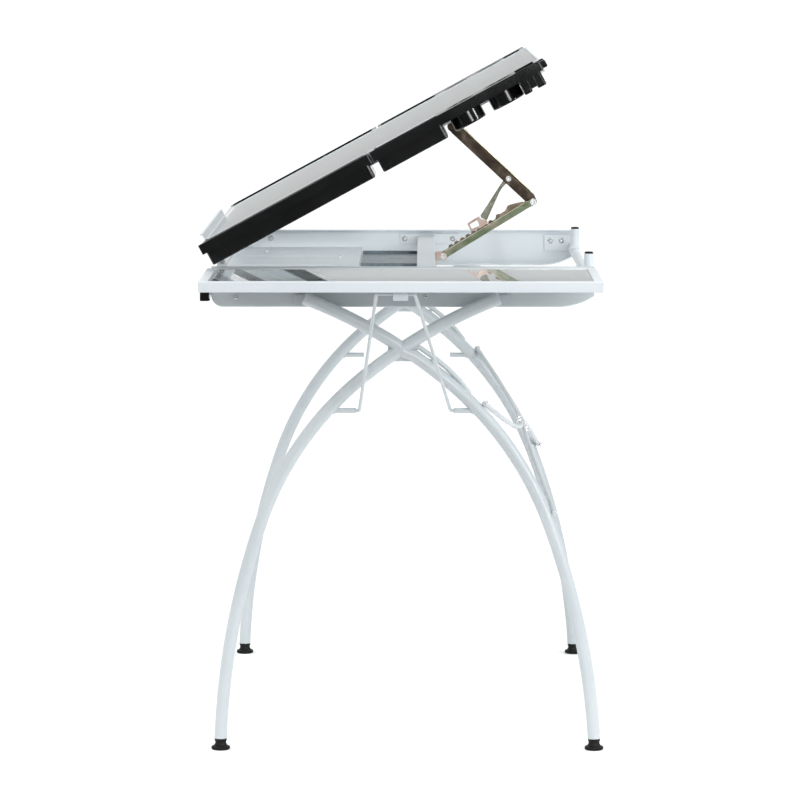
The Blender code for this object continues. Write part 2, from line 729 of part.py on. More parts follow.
def arm_hanger(top):
    """Two ears on the front of the back cross bar, open above the upper arm's pin."""
    x, z = HANGER_IN_TOP.x, HANGER_IN_TOP.z
    bar_front = CROSS_BAR_X[1] - CROSS_BAR_WIDTH / 2
    web_x = (bar_front - GAP - ARM_SHEET, bar_front - GAP)
    ear_low, ear_high = UPPER_ARM_HALF + 0.0006, UPPER_ARM_HALF + 0.0026
    outline = arc((x, z), 0.0080, math.radians(90), math.radians(270), 8)
    outline += [(web_x[1], HANGER_WEB_Z[0]), (web_x[1], HANGER_WEB_Z[1]), (x + 0.0150, HANGER_WEB_Z[1])]
    web_y = ear_high - 0.0002
    web_z = (HANGER_WEB_Z[0] + 0.0003, HANGER_WEB_Z[1] - 0.0003)
    shape = box((web_x[0], web_x[1] - 0.0002), (-web_y, web_y), web_z)
    shape = join(shape, *[plate_xz(outline, (side * ear_low, side * ear_high)) for side in (-1, 1)])
    add_part(cut(shape, rod_y(x, z, (-0.03, 0.03), ARM_HOLE_R, 16)), "arm_hanger", "brown_zinc", top)


def pencil_ledge(top):
    front = TOP_FRONT - 0.0005
    body = add_body("ledge_slide_axis", top, (front, 0.0, TOP_SURFACE))
    rise = box((-LEDGE_SHEET, 0.0), LEDGE_Y, (LEDGE_BOTTOM - TOP_SURFACE, LEDGE_RISE))
    curl_outline = [
        (-LEDGE_SHEET - 0.0035, LEDGE_RISE - LEDGE_SHEET),
        (-LEDGE_SHEET + 0.0005, LEDGE_RISE - LEDGE_SHEET),
        (-LEDGE_SHEET + 0.0005, LEDGE_RISE - 0.0001),
        (-LEDGE_SHEET - 0.0035, LEDGE_RISE - 0.0001),
    ]
    curl = plate_xz(curl_outline, (LEDGE_Y[0] + 0.0002, LEDGE_Y[1] - 0.0002))
    add_part(join(rise, curl), "pencil_ledge", "white_paint", body)


def tray_block(x, inset, z):
    """Solid of a tray's outline, inset on all four sides, on the near side of the top."""
    return box((x[0] + inset, x[1] - inset), (-TRAY_OUTER_Y + inset, -TRAY_INNER_Y - inset), z)


def front_tray():
    skirt = tray_block(FRONT_TRAY_X, 0.0, (TRAY_TOP - TRAY_SKIRT, TRAY_TOP))
    well = tray_block(FRONT_TRAY_X, TRAY_INSET, (TRAY_FLOOR, TRAY_TOP - 0.002))
    shape = join(skirt, well)
    inset = TRAY_INSET + TRAY_WALL
    cell_z = (TRAY_FLOOR + TRAY_WALL, TRAY_TOP + 0.01)
    half = TRAY_WALL / 2
    cells = []
    for x in (
        (FRONT_TRAY_X[0], FRONT_DIVIDER_X - half + inset),
        (FRONT_DIVIDER_X + half - inset, FRONT_TRAY_X[1]),
    ):
        cells.append(tray_block(x, inset, cell_z))
    return cut(shape, *cells)


def back_tray(with_tabs):
    skirt = tray_block(BACK_TRAY_X, 0.0, (TRAY_TOP - TRAY_SKIRT, TRAY_TOP))
    well_z = (TRAY_FLOOR, TRAY_TOP - 0.002)
    well_y = (-TRAY_OUTER_Y + TRAY_INSET, -TRAY_INNER_Y - TRAY_INSET)
    well = box(BOX_CELL_X, well_y, well_z)
    middle_y = -(TRAY_INNER_Y + TRAY_OUTER_Y) / 2
    cup_outs = [rod((x, middle_y, TRAY_FLOOR), (x, middle_y, TRAY_TOP - 0.002), r, 28) for x, r in CUPS]
    pen_y = (-TRAY_OUTER_Y + 0.012, -TRAY_INNER_Y - 0.012)
    pen_top = TRAY_TOP - TRAY_SKIRT + 0.002
    pens = [box(PEN_BLOCK_X, pen_y, (TRAY_FLOOR + PEN_STEP, pen_top))]
    for low, high in PEN_COLUMNS_X:
        column_y = (pen_y[0] + 0.0002, pen_y[1] - 0.0002)
        pens.append(box((low + 0.0002, high - 0.0002), column_y, (TRAY_FLOOR, pen_top - 0.0005)))
    shape = join(skirt, well, *cup_outs, *pens)
    if with_tabs:
        tab_x = (BACK_TRAY_X[1] - 0.001, BACK_TRAY_X[1] + 0.0085)
        tab_z = (TRAY_TOP - 0.0150, TRAY_TOP - 0.0030)
        tabs_y = (-TRAY_INNER_Y - 0.018, -TRAY_OUTER_Y + 0.028)
        shape = join(shape, *[box(tab_x, (y, y - 0.010), tab_z) for y in tabs_y])
    cell_z = (TRAY_FLOOR + TRAY_WALL, TRAY_TOP + 0.01)
    wall = TRAY_WALL
    cell = box((BOX_CELL_X[0] + wall, BOX_CELL_X[1] - wall), (well_y[0] + wall, well_y[1] - wall), cell_z)
    cups = [
        rod((x, middle_y, TRAY_FLOOR + wall), (x, middle_y, TRAY_TOP + 0.01), r - wall, 28) for x, r in CUPS
    ]
    slot_x = (PEN_BLOCK_X[0] + wall, PEN_BLOCK_X[1] - wall)
    slot_y = (pen_y[0] + wall, pen_y[1] - wall)
    slot = box(slot_x, slot_y, (TRAY_FLOOR + PEN_STEP + wall, TRAY_TOP + 0.01))
    return cut(shape, cell, slot, *cups)


def add_tray(shape, x, side, name, top, drop=0.0):
    """Lowers the tray's inner wall below the top's edge and hangs the tray beside the top."""
    step_y = (-TRAY_INNER_Y - TRAY_INSET - TRAY_WALL - 0.0010, -TRAY_INNER_Y + 0.01)
    step_x = (x[0] - 0.01, x[1] + 0.01)
    shape = cut(shape, box(step_x, step_y, (TRAY_TOP - TRAY_INNER_DROP, TRAY_TOP + 0.01)))
    middle = Vector(((x[0] + x[1]) / 2, side * (TRAY_INNER_Y + TRAY_OUTER_Y) / 2, TRAY_TOP - drop))
    body = add_body(f"{name}_axis", top, middle)
    if side > 0:
        shape.data.transform(Matrix.Scale(-1, 4, (0, 1, 0)))
        shape.data.flip_normals()
    shape.data.transform(Matrix.Translation((-middle.x, -middle.y, -TRAY_TOP)))
    add_part(shape, name, "black_tray_plastic", body)


def trays(top):
    add_tray(front_tray(), FRONT_TRAY_X, -1, "tray_near_front", top)
    add_tray(back_tray(True), BACK_TRAY_X, -1, "tray_near_back", top)
    add_tray(front_tray(), FRONT_TRAY_X, 1, "tray_far_front", top, FAR_DROP)
    add_tray(back_tray(False), BACK_TRAY_X, 1, "tray_far_back", top, FAR_DROP)


# Ratchet support


def arm_bracket(base):
    """Fork on the back of the mid rail with the lower arm's pin."""
    low, high = LOWER_ARM_HALF + 0.0004, LOWER_ARM_HALF + 0.0024
    plate_x = (RAIL_BACK_X + GAP, RAIL_BACK_X + GAP + SHEET)
    shape = box(plate_x, (-high, high), (RAIL_TOP_Z - 0.0235, RAIL_TOP_Z + 0.0015))
    others = []
    outline = arc((ARM_PIVOT.x, ARM_PIVOT.z), 0.0065, math.radians(-90), math.radians(90), 8)
    outline += [(plate_x[0] + 0.0005, ARM_PIVOT.z + 0.0065), (plate_x[0] + 0.0005, ARM_PIVOT.z - 0.0065)]
    for side in (-1, 1):
        others.append(plate_xz(outline, (side * low, side * (high - 0.0002))))
        head_y = (side * (high - 0.0007), side * (high + 0.0022))
        others.append(rod_y(ARM_PIVOT.x, ARM_PIVOT.z, head_y, 0.0045, 16))
    others.append(rod_y(ARM_PIVOT.x, ARM_PIVOT.z, (-high, high), ARM_PIN_R, 16))
    add_part(join(shape, *others), "arm_bracket", "copper_zinc", base)


def channel(length, half, z, web_x, end_radius):
    """A U channel along +X, open at its top, with round ends and no holes yet."""
    inner = half - ARM_SHEET
    back = math.radians(90)
    outline = arc((0.0, 0.0), end_radius, back + 0.35, 3 * back - 0.35, 8)
    outline += [(end_radius, z[0]), (length - end_radius, z[0])]
    outline += arc((length, 0.0), end_radius, 0.35 - back, back - 0.35, 8)
    outline += [(length - end_radius, z[1]), (end_radius, z[1])]
    shape = box(web_x, (-half + 0.0005, half - 0.0005), (z[0] + 0.0001, z[0] + ARM_SHEET))
    return join(shape, *[plate_xz(outline, (side * inner, side * half)) for side in (-1, 1)])


def lower_arm(body, length):
    shape = channel(length, LOWER_ARM_HALF, LOWER_ARM_Z, (0.0120, length - 0.0185), 0.0058)
    hole_y = (-0.03, 0.03)
    shape = cut(shape, rod_y(0.0, 0.0, hole_y, ARM_HOLE_R, 16), rod_y(length, 0.0, hole_y, ARM_HOLE_R, 16))
    add_part(shape, "lower_arm", "yellow_zinc", body)


def tooth_rack(body, length):
    floor = LOWER_ARM_Z[0] + ARM_SHEET + GAP
    edge = LOWER_ARM_Z[1] + 0.0004
    outline = [(0.0130, floor), (length - 0.0150, floor)]
    outline += [(length - 0.0150, edge + 0.0020), (length - 0.0300, edge + 0.0082)]
    outline += [(length - 0.0400, edge + 0.0086), (length - 0.0470, edge + 0.0040)]
    outline += [(length - 0.0570, edge + 0.0038)]
    outline += [(length - 0.0640, edge + 0.0058), (length - 0.0680, edge + 0.0010)]
    first = 0.0150
    for i in reversed(range(TOOTH_COUNT)):
        x = first + i * TOOTH_PITCH * 0.95
        if x + TOOTH_PITCH > length - 0.0680:
            continue
        outline += [(x + 0.0085, edge), (x + 0.0065, edge + 0.0035), (x + 0.0010, edge + 0.0030), (x, edge)]
    outline += [(0.0130, edge)]
    add_part(plate_xz(outline, RACK_Y), "tooth_rack", "yellow_zinc", body)


def elbow_bolt(body, length):
    reach = LOWER_ARM_HALF + GAP
    shank = rod_y(length, 0.0, (-reach - 0.0030, reach + 0.0040), ARM_PIN_R, 16)
    head = rod_y(length, 0.0, (-reach - 0.0030, -reach), 0.0055, 16)
    nut = rod_y(length, 0.0, (reach, reach + 0.0035), 0.0055, 6)
    add_part(join(shank, head, nut), "elbow_bolt", "bright_steel", body)


def upper_arm(body, length):
    shape = channel(length, UPPER_ARM_HALF, UPPER_ARM_Z, (0.0150, length - 0.0085), 0.0064)
    shape = cut(shape, rod_y(0.0, 0.0, (-0.03, 0.03), ARM_HOLE_R, 16))
    half = UPPER_ARM_HALF
    strut_pin = rod_y(STRUT_PIVOT_ALONG, 0.0, (-half - 0.0018, half + 0.0018), 0.0024, 16)
    strut_head = rod_y(STRUT_PIVOT_ALONG, 0.0, (-half - 0.0018, -half + 0.0002), 0.0045, 16)
    end_pin = rod_y(length, 0.0, (-half + 0.0004, half - 0.0004), ARM_PIN_R, 20)
    shape = join(shape, end_pin)
    add_part(join(shape, strut_pin, strut_head), "upper_arm", "brown_zinc", body)


def strut(body):
    """Tapered prop between the arms, narrow under its eye and wide at its foot."""
    outline = arc((0.0, 0.0), STRUT_EYE_R, math.radians(90), math.radians(270), 8)
    outline += [(0.0121, -0.0065), (STRUT_LENGTH + 0.0010, -0.0119), (STRUT_LENGTH + 0.0034, -0.0095)]
    outline += [(STRUT_LENGTH + 0.0020, 0.0008), (0.0269, -0.0026), (0.0110, 0.0000)]
    shape = plate_xz(outline, (-STRUT_HALF, STRUT_HALF))
    add_part(cut(shape, rod_y(0.0, 0.0, (-0.02, 0.02), 0.0028, 16)), "strut", "copper_zinc", body)


def strut_clip(body, lower_angle):
    """Bent strip at the strut's foot that drops between the teeth; it lies along the lower arm."""
    turn = lower_angle - STRUT_ANGLE
    foot = Vector((STRUT_LENGTH + 0.0042, 0.0, 0.0))
    outer = [(-0.0300, -0.0030), (-0.0100, -0.0060), (0.0010, -0.0050), (0.0022, 0.0005)]
    outer += [(-0.0090, 0.0060), (-0.0080, 0.0118), (-0.0290, 0.0118)]
    inner = [(-0.0265, 0.0005), (-0.0130, -0.0015), (-0.0115, 0.0085), (-0.0255, 0.0085)]
    shape = plate_xz(outer, (-CLIP_HALF, CLIP_HALF))
    shape = cut(shape, plate_xz(inner, (-0.02, 0.02)))
    shape.data.transform(Matrix.Translation(foot) @ Matrix.Rotation(-turn, 4, "Y"))
    add_part(shape, "strut_clip", "copper_zinc", body)


def ratchet(base):
    lower_angle = math.atan2(ELBOW.z - ARM_PIVOT.z, ELBOW.x - ARM_PIVOT.x)
    upper_angle = math.atan2(HANGER.z - ELBOW.z, HANGER.x - ELBOW.x)
    lower_length = (ELBOW - ARM_PIVOT).length
    upper_length = (HANGER - ELBOW).length
    lower_body = add_body("lower_arm_axis", base, ARM_PIVOT, -lower_angle)
    elbow_place = (lower_length, 0.0, 0.0)
    upper_body = add_body("upper_arm_axis", lower_body, elbow_place, lower_angle - upper_angle)
    strut_place = (STRUT_PIVOT_ALONG, 0.0, 0.0)
    strut_body = add_body("strut_axis", upper_body, strut_place, upper_angle - STRUT_ANGLE)
    arm_bracket(base)
    lower_arm(lower_body, lower_length)
    tooth_rack(lower_body, lower_length)
    elbow_bolt(lower_body, lower_length)
    upper_arm(upper_body, upper_length)
    strut(strut_body)
    strut_clip(strut_body, lower_angle)


# Side shelf


def shelf_strap(x):
    """The shelf's half of a hinge: an eye under the inner rail, next to the base's lug."""
    start = x + HINGE_SHEET + 0.0005
    xs = (start, start + HINGE_SHEET)
    root = SHELF_Z[0] - SHELF_AXIS.z + 0.0010
    outline = arc((0.0, 0.0), HINGE_EYE_R, math.radians(-90), math.radians(65), 8)
    outline += [(-0.0065, root), (-0.0200, root), (-0.0180, 0.0)]
    hole = rod((xs[0] - 0.01, 0.0, 0.0), (xs[1] + 0.01, 0.0, 0.0), HINGE_HOLE_R, 12)
    return cut(plate_yz(outline, xs), hole)


def shelf(base):
    body = add_body("shelf_axis", base, SHELF_AXIS)
    y_low, y_high = (y - SHELF_AXIS.y for y in SHELF_Y)
    z = tuple(value - SHELF_AXIS.z for value in SHELF_Z)
    inner_x = (SHELF_X[0] + SHELF_RAIL, SHELF_X[1] - SHELF_RAIL)
    inner_y = (y_low + SHELF_RAIL, y_high - SHELF_RAIL)
    rebate_floor = z[1] - SHELF_GLASS - 0.0008
    rebate_x = (inner_x[0] - SHELF_REBATE, inner_x[1] + SHELF_REBATE)
    rebate_y = (inner_y[0] - SHELF_REBATE, inner_y[1] + SHELF_REBATE)

    def rebated(shape):
        return cut(shape, box(rebate_x, rebate_y, (rebate_floor, z[1] + 0.01)))

    side_y = (inner_y[0] + GAP, inner_y[1] - GAP)
    add_part(rebated(box(SHELF_X, (y_low, inner_y[0]), z)), "shelf_rail_outer", "white_paint", body)
    inner_rail = rebated(box(SHELF_X, (inner_y[1], y_high), z))
    straps = [shelf_strap(x) for x in SHELF_HINGES_X]
    add_part(join(inner_rail, *straps), "shelf_rail_inner", "white_paint", body)
    add_part(rebated(box((SHELF_X[0], inner_x[0]), side_y, z)), "shelf_rail_front", "white_paint", body)
    add_part(rebated(box((inner_x[1], SHELF_X[1]), side_y, z)), "shelf_rail_back", "white_paint", body)
    glass = box(
        (rebate_x[0] + GAP, rebate_x[1] - GAP),
        (rebate_y[0] + GAP, rebate_y[1] - GAP),
        (rebate_floor + GAP, rebate_floor + GAP + SHELF_GLASS),
    )
    add_part(glass, "shelf_glass", "clear_glass", body)


def rounded_corner(before, corner, after, radius, steps=4):
    """Points of a bend at a corner, tangent to both straight runs near enough for a wire."""
    back = (before - corner).normalized() * radius
    ahead = (after - corner).normalized() * radius
    points = []
    for i in range(steps + 1):
        t = i / steps
        points.append(corner + back * (1 - t) * (1 - t) + ahead * t * t)
    return points


def stay(base):
    """Wire bail that props the shelf, its two feet turned out into the leg sockets."""
    body = add_body("stay_axis", base, STAY_PIVOT, rotation_x=STAY_ANGLE)
    end_x = SOCKET_END_X + SOCKET_DEPTH - 0.0020
    middle = LEG_SHIFT - 0.004
    corners = [
        Vector((middle - end_x, 0.0, 0.0)),
        Vector((middle - STAY_FOOT_X, 0.0, 0.0)),
        Vector((STAY_BAR_X[0], 0.0, STAY_LENGTH)),
        Vector((STAY_BAR_X[1], 0.0, STAY_LENGTH)),
        Vector((middle + STAY_FOOT_X, 0.0, 0.0)),
        Vector((middle + end_x, 0.0, 0.0)),
    ]
    points = [corners[0]]
    for before, corner, after in zip(corners, corners[1:], corners[2:]):
        points += rounded_corner(before, corner, after, STAY_CORNER)
    points.append(corners[-1])
    add_part(tube(points, STAY_R, 2), "stay", "white_paint", body)
    drop = (-0.0100, 0.0015)
    plate = box((-0.0190, 0.0038), (0.0, -0.0018), drop)
    to_bar = Matrix.Translation((0.0, 0.0, STAY_LENGTH)) @ Matrix.Rotation(-STAY_ANGLE, 4, "X")
    plate.data.transform(to_bar @ Matrix.Translation((0.0, -STAY_R - GAP, 0.0)))
    add_part(plate, "stay_head_plate", "white_paint", body)


def main():
    table = add_body("table_origin", None, CENTRE_SHIFT)
    for side in (-1, 1):
        side_panel(side, table)
        leg_pair(side, table)
        pivot_bracket(side, table)
    floor_pan(table)
    steel_plate(table)
    mid_rail(table)
    back_tube(table)
    front_tube(table)
    brace(BRACE_END_Z[0], 1, "brace_upper", table)
    brace(BRACE_END_Z[1], -1, "brace_lower", table)
    brace_bolts(table)
    for side_y, where in ((-1, "near"), (1, "far")):
        for side_x, end in ((-1, "front"), (1, "back")):
            leveler(side_x, side_y * LEG_Y, f"leveler_{where}_{end}", table)
    top = add_body("top_axis", table, TILT_PIVOT, -TILT)
    top_rails(top)
    arm_hanger(top)
    pencil_ledge(top)
    trays(top)
    ratchet(table)
    shelf_lug(SHELF_HINGES_X[0], "shelf_lug_front", table)
    shelf_lug(SHELF_HINGES_X[1], "shelf_lug_back", table)
    shelf(table)
    stay(table)


main()
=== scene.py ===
"""Looks of the drafting table: camera, studio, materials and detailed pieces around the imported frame."""

import math

import bmesh
import bpy
from mathutils import Matrix, Vector


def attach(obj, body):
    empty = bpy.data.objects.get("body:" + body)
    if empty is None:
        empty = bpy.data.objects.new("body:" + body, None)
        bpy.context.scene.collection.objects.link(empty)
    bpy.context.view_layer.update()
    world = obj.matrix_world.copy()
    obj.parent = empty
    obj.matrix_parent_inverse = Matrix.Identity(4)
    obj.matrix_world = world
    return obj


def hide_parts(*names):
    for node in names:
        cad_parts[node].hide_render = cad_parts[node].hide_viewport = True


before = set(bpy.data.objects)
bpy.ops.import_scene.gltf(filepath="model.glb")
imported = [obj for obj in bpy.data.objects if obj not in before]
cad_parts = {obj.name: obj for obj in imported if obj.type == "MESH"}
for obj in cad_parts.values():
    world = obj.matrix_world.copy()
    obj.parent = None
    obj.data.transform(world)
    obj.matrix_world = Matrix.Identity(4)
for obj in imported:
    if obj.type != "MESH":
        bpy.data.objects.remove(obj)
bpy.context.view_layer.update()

# Measures

ALONG_X, ALONG_Y, ALONG_Z = (1.0, 0.0, 0.0), (0.0, 1.0, 0.0), (0.0, 0.0, 1.0)
PAN_TOP = 0.7296
REAR_TUBE_X, REAR_TUBE_Z, POST_Y = 0.2895, 0.7294, 0.288
GAP = 0.0003  # clearance between neighbouring solids
SHIFT = Vector((0.00792, 0.09485, 0.0))
TILT = math.radians(28.53)
TILT_PIVOT = Vector((-0.289, 0.0, 0.766))
ARM_PIVOT = Vector((0.0596, 0.0, 0.7449))
ELBOW = Vector((0.2084, 0.0, 0.8356))
HANGER = Vector((0.0743, 0.0, 0.9596))
STAY_PIVOT = Vector((0.0, -0.437, 0.536))
STAY_ANGLE = math.radians(50.31)
STRUT_ALONG, STRUT_LENGTH = 0.0556, 0.0751
STRUT_ANGLE = math.radians(242.1)
LOWER_ANGLE = math.atan2(ELBOW.z - ARM_PIVOT.z, ELBOW.x - ARM_PIVOT.x)
UPPER_ANGLE = math.atan2(HANGER.z - ELBOW.z, HANGER.x - ELBOW.x)
LOWER_LENGTH = (ELBOW - ARM_PIVOT).length
UPPER_LENGTH = (HANGER - ELBOW).length


def turned(angle, place, base):
    """The frame at a place in base, with its X turned up by an angle about Y."""
    return base @ Matrix.Translation(place) @ Matrix.Rotation(-angle, 4, "Y")


TABLE = Matrix.Translation(SHIFT)
TOP = turned(TILT, TILT_PIVOT, TABLE)
LOWER_ARM = turned(LOWER_ANGLE, ARM_PIVOT, TABLE)
UPPER_ARM = turned(UPPER_ANGLE, ELBOW, TABLE)
STRUT = turned(STRUT_ANGLE - UPPER_ANGLE, Vector((STRUT_ALONG, 0.0, 0.0)), UPPER_ARM)
STAY = TABLE @ Matrix.Translation(STAY_PIVOT) @ Matrix.Rotation(STAY_ANGLE, 4, "X")

# Camera, floor, light

CAMERA_PLACE = Vector((0.0225, -6.6292, 1.2429)) + SHIFT
CAMERA_DOWN, CAMERA_TURN = 0.111, 0.0052
FLOOR_REACH, FLOOR_FRONT = 150.0, -1.2
SKY_LOW, SKY_HIGH, SKY_FRONT = 0.64, 1.12, 0.24


def linked(name, data):
    """A new object, put in the scene."""
    obj = bpy.data.objects.new(name, data)
    bpy.context.scene.collection.objects.link(obj)
    return obj


def mesh_from(bm, name):
    """A new mesh with what a bmesh holds; the bmesh is freed."""
    mesh = bpy.data.meshes.new(name)
    bm.to_mesh(mesh)
    bm.free()
    return mesh


def feed(node, **values):
    """Sets inputs of a node; an underscore stands for the space in an input's name."""
    for key, value in values.items():
        node.inputs[key.replace("_", " ")].default_value = value


def studio():
    camera = bpy.data.cameras.new("camera")
    camera.lens = 180.0
    camera.sensor_width = 36.0
    camera.clip_end = 400.0
    holder = linked("camera", camera)
    holder.location = CAMERA_PLACE
    holder.rotation_euler = (math.radians(90.0) - CAMERA_DOWN, 0.0, CAMERA_TURN)
    bpy.context.scene.camera = holder

    bm = bmesh.new()
    far = FLOOR_REACH
    corners = ((-far, FLOOR_FRONT), (far, FLOOR_FRONT), (far, far), (-far, far))
    bm.faces.new([bm.verts.new((x, y, 0.0)) for x, y in corners])
    floor = linked("floor", mesh_from(bm, "floor"))
    material = bpy.data.materials.new("floor")
    material.use_nodes = True
    shader = material.node_tree.nodes["Principled BSDF"]
    feed(shader, Base_Color=(0.93, 0.93, 0.93, 1.0), Roughness=0.9, Specular_IOR_Level=0.1)
    floor.data.materials.append(material)

    world = bpy.data.worlds.new("studio")
    world.use_nodes = True
    tree = world.node_tree
    split = tree.nodes.new("ShaderNodeSeparateXYZ")
    tree.links.new(tree.nodes.new("ShaderNodeTexCoord").outputs["Generated"], split.inputs["Vector"])

    def graded(source, low, high, dark, light):
        node = tree.nodes.new("ShaderNodeMapRange")
        node.interpolation_type = "SMOOTHSTEP"
        feed(node, From_Min=low, From_Max=high, To_Min=dark, To_Max=light)
        tree.links.new(split.outputs[source], node.inputs["Value"])
        return node.outputs["Result"]

    product = tree.nodes.new("ShaderNodeMath")
    product.operation = "MULTIPLY"
    tree.links.new(graded("Z", 0.02, 0.4, SKY_LOW, SKY_HIGH), product.inputs[0])
    tree.links.new(graded("Y", -0.6, 0.1, SKY_FRONT, 1.0), product.inputs[1])
    tree.links.new(product.outputs["Value"], tree.nodes["Background"].inputs["Strength"])
    tree.nodes["Background"].inputs["Color"].default_value = (0.98, 0.995, 1.0, 1.0)
    bpy.context.scene.world = world
    bpy.context.scene.view_settings.view_transform = "Standard"
    bpy.context.scene.view_settings.look = "None"

    for name, place, aim, size, power, colour in (
        ("key", (-2.4, -2.6, 3.0), (0.0, 0.0, 0.6), (1.6, 1.6), 32.0, (1.0, 0.99, 0.97)),
        ("strip", (2.9, -2.3, 1.5), (0.1, -0.4, 0.8), (0.3, 1.8), 60.0, (0.97, 0.99, 1.0)),
        ("edge", (-2.6, -2.9, 1.2), (0.1, -0.4, 0.8), (0.22, 1.6), 9.0, (1.0, 1.0, 1.0)),
        ("front", (1.0, -4.6, 1.75), (0.0, 0.0, 0.8), (1.5, 1.0), 62.0, (0.98, 0.99, 1.0)),
    ):
        light = bpy.data.lights.new(name, "AREA")
        light.shape = "RECTANGLE"
        light.size, light.size_y = size
        light.energy = power
        light.color = colour
        add_lamp(name, light, place, aim)
    sun = bpy.data.lights.new("overhead", "SUN")
    sun.energy = 1.45
    sun.angle = 1.1
    add_lamp("overhead", sun, (-1.0, -1.6, 4.0), (0.0, 0.0, 0.0))


def add_lamp(name, light, place, aim):
    lamp = linked(name, light)
    lamp.location = place
    lamp.rotation_euler = (Vector(place) - Vector(aim)).to_track_quat("Z", "Y").to_euler()


studio()

# Materials


class Look:
    """A node material with noise-driven colour, roughness and bump, in world metres."""

    def __init__(self, name, roughness, metallic=0.0, coat=0.0, specular=0.5):
        self.material = bpy.data.materials.new("look_" + name)
        self.material.use_nodes = True
        self.tree = self.material.node_tree
        self.shader = self.tree.nodes["Principled BSDF"]
        feed(self.shader, Metallic=metallic, Roughness=roughness, Specular_IOR_Level=specular)
        feed(self.shader, Coat_Weight=coat, Coat_Roughness=0.12)
        self.new, self.link = self.tree.nodes.new, self.tree.links.new
        self.place = self.new("ShaderNodeTexCoord").outputs["Object"]

    def noise(self, scale, detail=3.0, stretch=(1.0, 1.0, 1.0)):
        mapping = self.new("ShaderNodeMapping")
        feed(mapping, Scale=stretch)
        self.link(self.place, mapping.inputs["Vector"])
        node = self.new("ShaderNodeTexNoise")
        feed(node, Scale=scale, Detail=detail)
        self.link(mapping.outputs["Vector"], node.inputs["Vector"])
        return node.outputs["Fac"]

    def cells(self, scale):
        node = self.new("ShaderNodeTexVoronoi")
        feed(node, Scale=scale)
        self.link(self.place, node.inputs["Vector"])
        return node

    def ramp(self, factor, stops):
        node = self.new("ShaderNodeValToRGB")
        elements = node.color_ramp.elements
        elements[0].position, elements[0].color = stops[0][0], (*stops[0][1], 1.0)
        elements[1].position, elements[1].color = stops[-1][0], (*stops[-1][1], 1.0)
        for position, colour in stops[1:-1]:
            elements.new(position).color = (*colour, 1.0)
        self.link(factor, node.inputs["Fac"])
        return node.outputs["Color"]

    def colour(self, factor, stops):
        self.link(self.ramp(factor, stops), self.shader.inputs["Base Color"])

    def rough(self, factor, low, high):
        node = self.new("ShaderNodeMapRange")
        feed(node, To_Min=low, To_Max=high)
        self.link(factor, node.inputs["Value"])
        self.link(node.outputs["Result"], self.shader.inputs["Roughness"])

    def bump(self, factor, strength, distance):
        node = self.new("ShaderNodeBump")
        feed(node, Strength=strength, Distance=distance)
        normal = self.shader.inputs["Normal"]
        if normal.is_linked:
            self.link(normal.links[0].from_socket, node.inputs["Normal"])
        self.link(factor, node.inputs["Height"])
        self.link(node.outputs["Normal"], normal)


def paint_look(name, dark, light):
    """Powder coat: faint shade drift, soft sheen, fine orange peel."""
    look = Look(name, 0.3, coat=0.15)
    look.colour(look.noise(7.0, 4.0), ((0.3, dark), (0.7, light)))
    look.rough(look.noise(45.0), 0.26, 0.4)
    look.bump(look.noise(900.0, 2.0), 0.1, 0.00012)
    return look.material


def black_look(name, base, low, high, grain, specular):
    """Moulded black plastic: satin grain, slow drift in gloss, faint flow marks."""
    look = Look(name, low, specular=specular)
    look.colour(look.noise(30.0, 5.0), ((0.35, base), (0.75, tuple(c * 1.7 for c in base))))
    look.rough(look.noise(18.0, 4.0), low, high)
    look.bump(look.noise(grain, 2.0), 0.1, 0.0001)
    look.bump(look.noise(24.0, 1.0), 0.12, 0.0006)
    return look.material


def zinc_look(name, low, high, drawn, stops):
    """Passivated zinc: clouded tints, drawn lines along the strip, uneven gloss."""
    look = Look(name, low, metallic=0.85)
    look.colour(look.noise(55.0, 6.0), stops)
    look.rough(look.noise(120.0, 4.0), low, high)
    look.bump(look.noise(500.0, 3.0, drawn), 0.18, 0.00012)
    return look.material


def spangle_look():
    """Galvanised sheet: crystal cells, drawn lines, uneven gloss."""
    look = Look("galvanised", 0.35, metallic=0.85)
    cells = look.cells(160.0)
    look.colour(
        cells.outputs["Color"],
        ((0.2, (0.145, 0.185, 0.205)), (0.55, (0.18, 0.22, 0.245)), (0.9, (0.215, 0.255, 0.28)))
    )
    look.rough(look.noise(60.0, 4.0), 0.26, 0.46)
    look.bump(cells.outputs["Distance"], 0.06, 0.0002)
    look.bump(look.noise(420.0, 2.0, (1.0, 0.08, 1.0)), 0.1, 0.0001)
    return look.material


def glass_look(name, tint):
    """Clear glass with a faint unevenness in its polish."""
    look = Look(name, 0.0)
    feed(look.shader, Base_Color=(*tint, 1.0), Transmission_Weight=1.0, IOR=1.48)
    look.rough(look.noise(9.0, 3.0), 0.0, 0.03)
    return look.material


PAINT = paint_look("paint", (0.585, 0.632, 0.662), (0.635, 0.675, 0.702))
# A darker copy of the same white paint: painted shade on the legs, braces, stay and near side panel.
SHADED_PAINT = paint_look("paint_shaded_copy", (0.45, 0.49, 0.512), (0.495, 0.53, 0.548))
TRAY_BLACK = black_look("tray_black", (0.0032, 0.0034, 0.0036), 0.07, 0.18, 1600.0, 0.5)
FOOT_BLACK = black_look("foot_black", (0.003, 0.003, 0.003), 0.4, 0.6, 1100.0, 0.22)
GALVANISED = spangle_look()
DRAWN, EVEN = (0.1, 1.0, 0.1), (1.0, 1.0, 1.0)
YELLOW = zinc_look("yellow_zinc", 0.26, 0.46, DRAWN, (
    (0.3, (0.1, 0.12, 0.058)), (0.5, (0.175, 0.205, 0.135)), (0.68, (0.3, 0.255, 0.195)),
))
OLIVE = zinc_look("olive_zinc", 0.3, 0.5, DRAWN, (
    (0.3, (0.1, 0.1, 0.07)), (0.52, (0.17, 0.175, 0.135)), (0.7, (0.26, 0.25, 0.2)),
))
